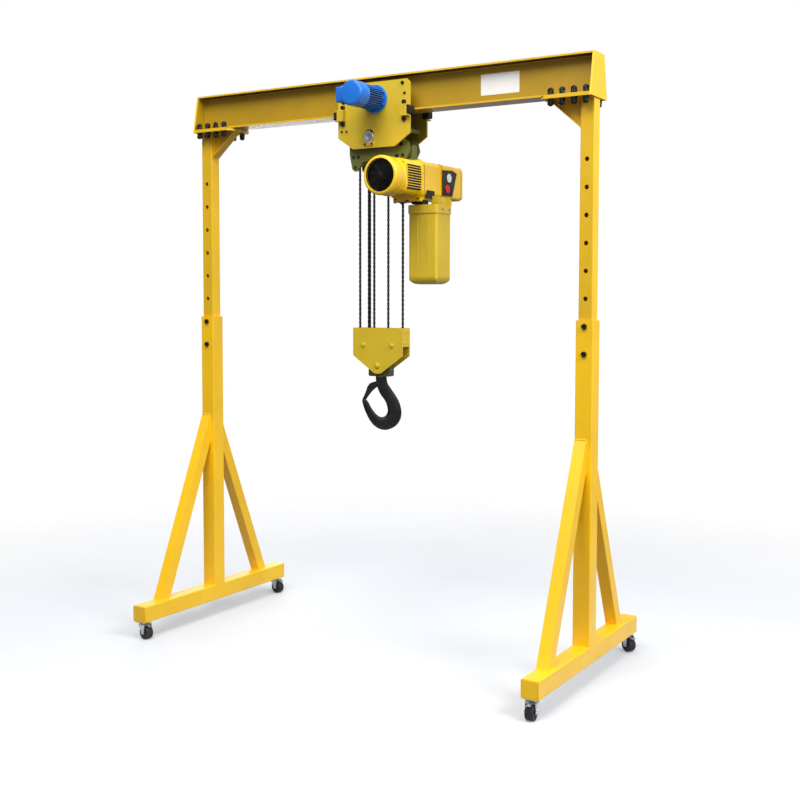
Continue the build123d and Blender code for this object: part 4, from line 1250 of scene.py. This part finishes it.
def drive_pinion():
    """The cut pinion that meshes with the front wheels' tooth rings."""
    hub, bm = centre_of("drive_pinion"), bmesh.new()
    axis = aim((hub.x, -0.0805, hub.z), -Y)
    gear_ring(bm, axis, 0.0448, 0.0498, 24, 0.0084, 0.0118)
    revolve(bm, [(0, -0.0044), (0.0110, -0.0044), (0.0119, -0.0034), (0.0119, 0.0110),
                 (0.0110, 0.0119), (0, 0.0119)], axis, 28)
    add("pinion_cut", bm, "steel", 30, "pinion", "drive_pinion")


def sheaves():
    """Pocketed chain sheaves: turned flanges, a groove and link pockets in its floor."""
    for node, body, bore in (("top_sheave", "upper_sheave", 0.0156),
                             ("block_sheave_left", "lower_sheave_left", 0.0126),
                             ("block_sheave_right", "lower_sheave_right", 0.0126)):
        half = [(0.0046, 0.0462, 1), (0.0062, 0.0560, 0.2), (0.0070, 0.0579, 0), (0.0116, 0.0579, 0),
                (0.0128, 0.0568, 0), (0.0128, 0.0420, 0), (0.0100, 0.0400, 0), (0.0100, 0.0240, 0),
                (0.0128, 0.0220, 0), (0.0128, bore, 0)]
        bm = bmesh.new()
        pocketed_disc(bm, centre_of(node), 88, 11, 0.0022,
                      half + [(-y, r, share) for y, r, share in reversed(half)], closed=True)
        add(f"{node}_cast", bm, "steel", 35, body, node)


def travel_motor():
    """The blue travel motor: bolted flange, finned barrel and a pressed, domed fan cowl."""
    hub, bm = centre_of("travel_motor"), bmesh.new()
    axis = aim((hub.x, -PLATE_FACE, hub.z), -Y)
    profile = [(0, 0), (0.0805, 0), (0.0820, 0.0015), (0.0820, 0.0115), (0.0805, 0.0130),
               (0.0640, 0.0130), (0.0615, 0.0150), (0.0600, 0.0180), (0.0595, 0.1760), (0, 0.1760)]
    revolve(bm, profile, axis, 64)
    fins, fin_end = 32, 0.1775
    for k in range(fins):
        a = 2 * math.pi * (k + 0.5) / fins
        out, side = polar(1, a), Vector((-math.sin(a), math.cos(a), 0))
        loft(bm, [[axis @ (out * r + side * reach + Z * height) for reach, height in
                   ((-half, start), (half, start), (half, fin_end), (-half, fin_end))]
                  for r, half, start in ((0.0585, 0.0024, 0.0150), (0.0650, 0.0018, 0.0150),
                                         (0.0700, 0.0013, 0.0170))])
    cowl = [(0.0705, 0.1700), (0.0725, 0.1705), (0.0729, 0.1725), (0.0729, 0.1800), (0.0718, 0.1815),
            (0.0718, 0.1850), (0.0729, 0.1865), (0.0729, 0.2500)]
    for k in range(1, 9):
        a = math.radians(90 * k / 8)
        cowl.append((0.0589 + 0.0140 * math.cos(a), 0.2520 + 0.0140 * math.sin(a)))
    cowl += [(0.0440, 0.2672), (0.0220, 0.2679), (0, 0.2680)]
    revolve(bm, [(0, 0.1700)] + cowl, axis, 64)
    for k in range(4):
        out = axis.to_3x3() @ polar(1, math.radians(45 + 90 * k))
        pan_screw(bm, aim(axis @ Vector((0, 0, 0.1760)) + out * 0.0722, out), 0.0036, 0.0020)
    casting = build("travel_motor_casting", bm, "motor_blue", 32)
    # The barrel between the fins is painted near-black navy: painted shade in the gaps.
    casting.data.materials.append(MATERIALS["motor_navy"])
    for polygon in casting.data.polygons:
        off = math.hypot(polygon.center.x - hub.x, polygon.center.z - hub.z)
        if off < 0.0625 and -0.281 < polygon.center.y < -0.122:
            polygon.material_index = 1
    place(casting, "trolley", "motor_blue", "travel_motor")

    bm = bmesh.new()
    for k in range(6):
        spot = axis @ polar(0.072, math.radians(60 * k + 30), 0.0130)
        hex_bolt(bm, aim(spot, -Y, 12 * k), 0.0130, 0.0062, 0.0078)
    add("travel_motor_bolts", bm, "motor_blue", 30)


def terminal_box():
    """Cast terminal box with a lid, seal, four lid screws and a cable gland."""
    low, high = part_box("travel_terminal_box")
    wide, tall = high.y - low.y, 0.088
    mid_y, mid_z = (low.y + high.y) / 2, 3.293
    bm = bmesh.new()
    base = aim((low.x + 0.0100, mid_y, mid_z), X)
    size = (wide, tall) if abs((base.to_3x3() @ X).y) > 0.5 else (tall, wide)

    def shell(shrink, reach):
        return lifted(base, rounded(size[0] - shrink, size[1] - shrink, 0.007), reach)
    casting = ((0.0, 0.0), (0.001, 0.034), (0.006, 0.0445), (0.020, 0.0450))
    lid = ((0.0, -0.0012), (0.0, -0.0085), (0.0016, -0.0092), (0.0050, -0.0100))
    for rows in (casting, lid):
        loft(bm, [shell(*row) for row in rows])
    neck = aim((low.x + 0.048, mid_y - 0.004, mid_z), X)
    loft(bm, [lifted(neck, rounded(0.046, 0.042, 0.006), reach) for reach in (0.0, 0.0060)])
    add("terminal_box_casting", bm, "motor_blue", 35, "trolley", "travel_terminal_box")

    bm = bmesh.new()
    tube(bm, shell(0.001, -0.0006), 0.0009, 6, closed=True)
    gland = aim((low.x + 0.026, mid_y, low.z + 0.0125), -Z)
    revolve(bm, [(0, -0.001), (0.0086, -0.001), (0.0086, 0.0075), (0.0074, 0.0098), (0.0040, 0.0122),
                 (0.0040, 0.0060), (0, 0.0060)], gland, 24)
    hex_head(bm, gland, 0.0175, 0.0040)
    add("terminal_box_seal", bm, "plastic_black", 35)

    bm = bmesh.new()
    for dy in (0.010 - wide / 2, wide / 2 - 0.010):
        for dz in (0.010 - tall / 2, tall / 2 - 0.010):
            pan_screw(bm, aim((low.x + 0.0003, mid_y + dy, mid_z + dz), -X), 0.0038, 0.0002)
    add("terminal_box_screws", bm, "zinc", 35)


load_pin()
side_plate_details()
hanger_details()
trolley_wheels()
drive_pinion()
sheaves()
travel_motor()
terminal_box()


# ---------------------------------------------------------------- hook block
def block_details():
    """Domed covers over the pins and trunnions, cover bolts, seams, a tie bar and lubricators."""
    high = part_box("block_frame")[1]
    face = high.y
    left, right = centre_of("block_sheave_left"), centre_of("block_sheave_right")
    pins, pin_z, trunnion_z = (left.x, right.x), left.z, 1.717
    dome = [(0, 0), (1.0, 0), (1.0, 0.28), (0.93, 0.55), (0.66, 0.86), (0.30, 0.99), (0, 1.0)]
    covers = [(x, pin_z, 0.0140, 0.0076) for x in pins] + [(0, trunnion_z, 0.0162, 0.0080)]
    bm = bmesh.new()
    for s in (-1, 1):
        for x, z, wide, tall in covers:
            revolve(bm, [(r * wide, h * tall) for r, h in dome], aim((x, s * face, z), Y * s), 32)
    for s in (-1, 1):
        x = s * (high.x - 0.0045)
        for y in (-face + 0.0040, face - 0.0040):
            weld(bm, [(x, y, high.z - 0.1118), (x - s * 0.0045, y, high.z - 0.1118)], 0.0016, seed=21)
    for s in (-1, 1):
        for z in (high.z - 0.022, high.z - 0.090):
            for y in (-0.022, 0.022):
                hex_bolt(bm, aim((s * high.x, y, z), X * s, 15), 0.0110, 0.0040)
            for x in (-high.x + 0.0055, high.x - 0.0055):
                pan_screw(bm, aim((x, s * face, z), Y * s), 0.0036, 0.0016)
        for x in pins:
            lubricator = aim((x, s * (face + 0.0072), pin_z), Y * s)
            revolve(bm, [(0, 0), (0.0030, 0), (0.0030, 0.0022), (0.0017, 0.0030), (0.0024, 0.0044),
                         (0.0016, 0.0056), (0, 0.0058)], lubricator, 16)
    add("block_bosses", bm, "trolley_yellow", 45, "hook_block")

    bm = bmesh.new()
    inner, r = 0.0372, 0.0085
    revolve(bm, [(0, -inner), (r + 0.005, -inner), (r + 0.005, -inner + 0.003), (r, -inner + 0.004),
                 (r, inner - 0.004), (r + 0.005, inner - 0.003), (r + 0.005, inner), (0, inner)],
            aim((0, 0, high.z - 0.030), Y), 24)
    add("block_tie_bar", bm, "black_steel", 35, "hook_block")


def block_sheaves():
    """Hub rings, web rings and ribs on both faces of the block's sheaves."""
    for name in ("left", "right"):
        node = "block_sheave_" + name
        hub, high = centre_of(node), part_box(node)[1]
        bm = bmesh.new()
        for s in (-1, 1):
            face = aim((hub.x, s * high.y, hub.z), Y * s)
            revolve(bm, [(0.0130, 0), (0.0176, 0), (0.0176, 0.0009), (0.0168, 0.0013), (0.0130, 0.0013),
                         (0.0130, 0)], face, 32)
            revolve(bm, [(0.0520, 0), (0.0570, 0), (0.0562, 0.0010), (0.0528, 0.0010), (0.0520, 0)],
                    face, 48)
            for a in turns(6):
                tube(bm, [face @ polar(q, a, 0.0001) for q in (0.0180, 0.0350, 0.0520)], 0.0022, 6)
        add("block_sheave_ribs_" + name, bm, "steel", 40, node_body(node))


def node_body(node):
    """The body that carries a node in the record."""
    return next(body for body, nodes in RECORD["behaviour"]["bodies"].items() if node in nodes)


def crosshead_details():
    """Thrust race and two lubricators on the crosshead."""
    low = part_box("crosshead")[0]
    bm = bmesh.new()
    bore = 0.0222
    revolve(bm, [(bore, -0.001), (0.0325, -0.001), (0.0325, 0.0008), (0.0310, 0.0014), (bore, 0.0014),
                 (bore, -0.001)], aim((0, 0, low.z - 0.0002), -Z), 40)
    for s in (-1, 1):
        spot = aim((s * 0.0716, 0, 1.694), X * s)
        hex_head(bm, spot, 0.0080, 0.0034)
        revolve(bm, [(0, 0.003), (0.0022, 0.003), (0.0016, 0.0052), (0.0024, 0.0064), (0, 0.0074)],
                spot, 14)
    add("crosshead_race", bm, "zinc", 35, node_body("crosshead"))


block_details()
block_sheaves()
crosshead_details()


# ---------------------------------------------------------------- casters
PLATE_HALF = 0.036         # from a top plate's edge to the swivel axis


def caster_top_plates(side):
    """Corner-rounded top plates with four bolts and a double ball race below."""
    low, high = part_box("caster_plates_" + side)
    x = (low.x + high.x) / 2
    bm, bolts = bmesh.new(), bmesh.new()
    for y in (low.y + PLATE_HALF, high.y - PLATE_HALF):
        slab(bm, rounded(0.072, 0.072, 0.008), aim((x, y, high.z - 0.0002), -Z), 0.0040, 0.0008)
        revolve(bm, [(0, 0), (0.0250, 0), (0.0262, 0.0012), (0.0250, 0.0030), (0.0232, 0.0040),
                     (0.0236, 0.0052), (0.0228, 0.0058), (0, 0.0058)],
                aim((x, y, high.z - 0.0040), -Z), 40)
        for dx in (-0.027, 0.027):
            for dy in (-0.027, 0.027):
                spot = aim((x + dx, y + dy, high.z - 0.0040), -Z, 20 + 900 * dx)
                hex_bolt(bolts, spot, 0.011, 0.0042, 0.0066)
    add("caster_races_" + side, bm, "zinc", 35, side + "_leg", "caster_plates_" + side)
    add("caster_plate_bolts_" + side, bolts, "zinc", 35, side + "_leg")


def caster_frame(name):
    """A caster's frame: x along its trail, y along its axle, origin on its swivel axis at the floor."""
    hub = centre_of("caster_wheel_" + name)
    low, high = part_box("caster_plates_" + name.split("_")[1])
    swivel = Vector(((low.x + high.x) / 2,
                     low.y + PLATE_HALF if name.startswith("front") else high.y - PLATE_HALF, 0))
    along = Vector((hub.x - swivel.x, hub.y - swivel.y, 0))
    matrix = Matrix.Translation(swivel) @ Matrix.Rotation(math.atan2(along.y, along.x), 4, "Z")
    return matrix, along.length, hub.z


WHEEL_HALF = 0.024         # half a caster wheel's width


def spot_in(frame_matrix, x, y, z, direction, roll=0):
    """A matrix at a place and along a direction of the caster's own frame."""
    turned = frame_matrix.to_3x3() @ Vector(direction)
    return aim(frame_matrix @ Vector((x, y, z)), turned, roll)


def caster_wheel(name, frame_matrix, trail, r):
    """A rounded tyre with a sunk hub, bearing rings and six ribs on each face."""
    half = WHEEL_HALF
    bm = bmesh.new()
    profile = [(radius, lift - half) for radius, lift in
               ((0.0058, 0.0010), (0.0105, 0), (0.0122, 0.0006), (0.0126, 0.0030), (0.0200, 0.0042),
                (0.0262, 0.0034), (0.0276, 0.0008), (0.0305, 0))]
    for k in range(1, 8):
        a = math.radians(90 * k / 8)
        profile.append((r - 0.0078 + 0.0076 * math.sin(a), -half + 0.0078 - 0.0078 * math.cos(a)))
    profile += [(r - 0.0001, -half + 0.0100), (r, 0)]
    profile += [(a, -b) for a, b in reversed(profile[:-1])]
    profile.append(profile[0])
    revolve(bm, profile, spot_in(frame_matrix, trail, 0, r, Y), 64)
    bmesh.ops.remove_doubles(bm, verts=bm.verts, dist=1e-6)
    add("caster_tyre_" + name, bm, "caster_black", 40,
        "caster_wheel_" + name + "_body", "caster_wheel_" + name)
    bm = bmesh.new()
    for side in (-1, 1):
        face = spot_in(frame_matrix, trail, side * (half - 0.0006), r, Y * side)
        revolve(bm, [(0.0060, -0.001), (0.0102, -0.001), (0.0102, 0.0006), (0.0092, 0.0012),
                     (0.0060, 0.0012), (0.0060, -0.001)], face, 28)
        for a in turns(6):
            tube(bm, [face @ polar(q, a, -0.0034) for q in (0.0120, 0.0190, 0.0268)], 0.0016, 6)
    add("caster_hub_" + name, bm, "caster_black", 40, "caster_wheel_" + name + "_body")


def caster_fork(name, frame_matrix, trail, r):
    """A pressed fork: cheeks with swages, the crown and its race, axle bolts, the pedal's pin."""
    bm = bmesh.new()
    cheek, thick, crown = WHEEL_HALF + 0.0025, 0.0034, 0.0934
    outline = [(-0.0175, 0.0925), (trail + 0.0155, 0.0925), (trail + 0.0150, 0.0800),
               (trail + 0.0125, r - 0.004)]
    for k in range(7):
        a = math.radians(-10 - 160 * k / 6)
        outline.append((trail + 0.0118 * math.cos(a), r - 0.0008 + 0.0108 * math.sin(a)))
    outline += [(trail - 0.0125, r - 0.004), (0.0000, 0.0640), (-0.0150, 0.0790)]
    centre, break_edge = Vector((trail * 0.5, 0, 0.068)), 0.0006
    for side in (-1, 1):
        sections = []
        for depth, shrink in ((0.0, break_edge), (break_edge, 0.0), (thick - break_edge, 0.0),
                              (thick, break_edge)):
            loop = []
            for px, pz in outline:
                p = Vector((px, side * (cheek + depth), pz))
                inward = (centre - Vector((px, 0, pz))).normalized()
                loop.append(frame_matrix @ (p + inward * shrink))
            sections.append(loop)
        loft(bm, sections)
        swage = [frame_matrix @ Vector((px, side * (cheek + thick - 0.0004), pz))
                 for px, pz in ((-0.008, 0.0830), (trail - 0.006, 0.0560), (trail, r + 0.010))]
        tube(bm, swage, 0.0016, 8)
        axle = spot_in(frame_matrix, trail, side * (cheek + thick - 0.0002), r, Y * side, 10)
        hex_bolt(bm, axle, 0.0132, 0.0042, 0.0079)
    top = spot_in(frame_matrix, (trail - 0.002) / 2, 0, crown, -Z)
    size = [trail + 0.034, 2 * (cheek + thick)]
    if abs((top.to_3x3() @ X).dot(frame_matrix.to_3x3() @ X)) <= 0.5:
        size.reverse()
    slab(bm, rounded(*size, 0.006), top, 0.0038, 0.0008)
    revolve(bm, [(0, 0), (0.0255, 0), (0.0262, 0.0020), (0.0250, 0.0052), (0, 0.0055)],
            spot_in(frame_matrix, 0, 0, crown, Z), 40)
    slab(bm, rounded(0.008, 0.010, 0.001), spot_in(frame_matrix, trail + 0.017, 0, 0.0925, -Z),
         0.0072, 0.0004)
    revolve(bm, [(0, 0), (0.0030, 0.0002), (0.0030, 0.0008), (0.0022, 0.0010), (0.0022, 0.0246),
                 (0.0030, 0.0248), (0.0030, 0.0254), (0, 0.0256)],
            spot_in(frame_matrix, trail + 0.022, -0.0128, 0.0865, Y), 16)
    add("caster_yoke_" + name, bm, "zinc", 35, "caster_fork_" + name + "_body", "caster_fork_" + name)


def caster_pedal(name, frame_matrix, trail):
    """Pressed brake pedal: two side flanges, a tread and three grip ribs."""
    bm = bmesh.new()

    def block(x0, x1, y0, y1, z0, z1):
        loops = []
        for z, s in ((z0, 0.0004), (z0 + 0.0005, 0), (z1 - 0.0005, 0), (z1, 0.0004)):
            loops.append([frame_matrix @ Vector((x, y, z)) for x, y in
                          ((x0 + s, y0 + s), (x1 - s, y0 + s), (x1 - s, y1 - s), (x0 + s, y1 - s))])
        loft(bm, loops)
    for s in (-1, 1):
        y0, y1 = sorted((s * 0.0066, s * 0.0119))
        block(trail + 0.0192, trail + 0.0468, y0, y1, 0.0832, 0.0898)
    block(trail + 0.0300, trail + 0.0498, -0.0119, 0.0119, 0.0872, 0.0893)
    for k in range(3):
        x = trail + 0.035 + 0.005 * k
        tube(bm, [frame_matrix @ Vector((x, y, 0.0892)) for y in (-0.0105, 0.0, 0.0105)], 0.0008, 6)
    add("caster_brake_pedal_" + name, bm, "zinc", 30,
        "caster_pedal_" + name + "_body", "caster_pedal_" + name)


for side in ("left", "right"):
    caster_top_plates(side)
    for end in ("front", "back"):
        name = end + "_" + side
        frame_matrix, trail, r = caster_frame(name)
        caster_wheel(name, frame_matrix, trail, r)
        caster_fork(name, frame_matrix, trail, r)
        caster_pedal(name, frame_matrix, trail)


# ---------------------------------------------------------------- stage, lights and camera
def stage():
    """A pale floor round the crane that fades out into the white surroundings."""
    bm = bmesh.new()
    bmesh.ops.create_grid(bm, x_segments=1, y_segments=1, size=12)
    floor = build("studio_floor", bm)
    g = surface("studio_floor")
    tone = g.mix(g.ramp(g.noise(0.6, 3), 0.4, 0.6), srgb(202, 205, 211), srgb(206, 209, 214))
    reach = g.node("VectorMath", {0: g.point}, operation="LENGTH").outputs["Value"]
    fade = g.ramp(reach, 2.4, 5.2, 1.0, 0.0)
    floor.data.materials.append(g.finish(Base_Color=tone, Roughness=0.9, Specular_IOR_Level=0.2,
                                         Emission_Color=(1, 1, 1, 1), Emission_Strength=0.15,
                                         Alpha=fade))
    floor.visible_diffuse = False


def area_light(name, spot, target, size, power):
    """A round area light at spot that looks at target; size in metres, power in watts."""
    lamp = bpy.data.lights.new(name, "AREA")
    lamp.shape = "DISK"
    lamp.size = size
    lamp.energy = power
    holder = bpy.data.objects.new(name, lamp)
    bpy.context.scene.collection.objects.link(holder)
    holder.location = spot
    holder.rotation_euler = (Vector(target) - Vector(spot)).to_track_quat("-Z", "Y").to_euler()


def studio():
    """One large key from above and the +X side, with soft surroundings dimmer in front and below."""
    middle = (0, 0, 1.7)
    area_light("key_light", (6.5, -1.0, 6.3), middle, 4.0, 385)
    area_light("front_light", (0.8, -5.0, 8.4), middle, 5.4, 560)
    area_light("back_light", (-5.5, 6.5, 4.5), middle, 5.0, 190)
    world = bpy.data.worlds.new("studio")
    bpy.context.scene.world = world
    g = Graph(world, "Generated")
    towards_key = g.node("VectorMath", {0: g.point, 1: (0.30, 0.0, 0.22)}, operation="DOT_PRODUCT")
    level = g.math("ADD", towards_key.outputs["Value"], 0.44)
    height = g.node("SeparateXYZ", {0: g.point}).outputs["Z"]
    strength = g.math("MULTIPLY", level, g.ramp(height, -0.8, 0.10, 0.06, 1.0))
    white = (1, 1, 1, 1)
    around = g.node("Background", {"Color": white, "Strength": strength}).outputs[0]
    backdrop = g.node("Background", {"Color": white}).outputs[0]
    seen = g.node("LightPath").outputs["Is Camera Ray"]
    mixed = g.node("MixShader", {0: seen, 1: around, 2: backdrop}).outputs[0]
    g.feed(g.tree.nodes["World Output"].inputs["Surface"], mixed)


def camera():
    """The camera, fitted to the photo's edges of rails, legs and beam."""
    lens = bpy.data.cameras.new("camera")
    lens.sensor_width = 36
    lens.lens = 51.58
    lens.shift_x = -0.0021
    lens.shift_y = -0.0321
    eye = bpy.data.objects.new("camera", lens)
    bpy.context.scene.collection.objects.link(eye)
    eye.location = (3.7045, -5.8650, 2.1067)
    eye.rotation_euler = (math.radians(90 - 3.66), math.radians(-0.09), math.radians(31.26))
    bpy.context.scene.camera = eye


stage()
studio()
camera()
bpy.context.scene.view_settings.view_transform = "Standard"
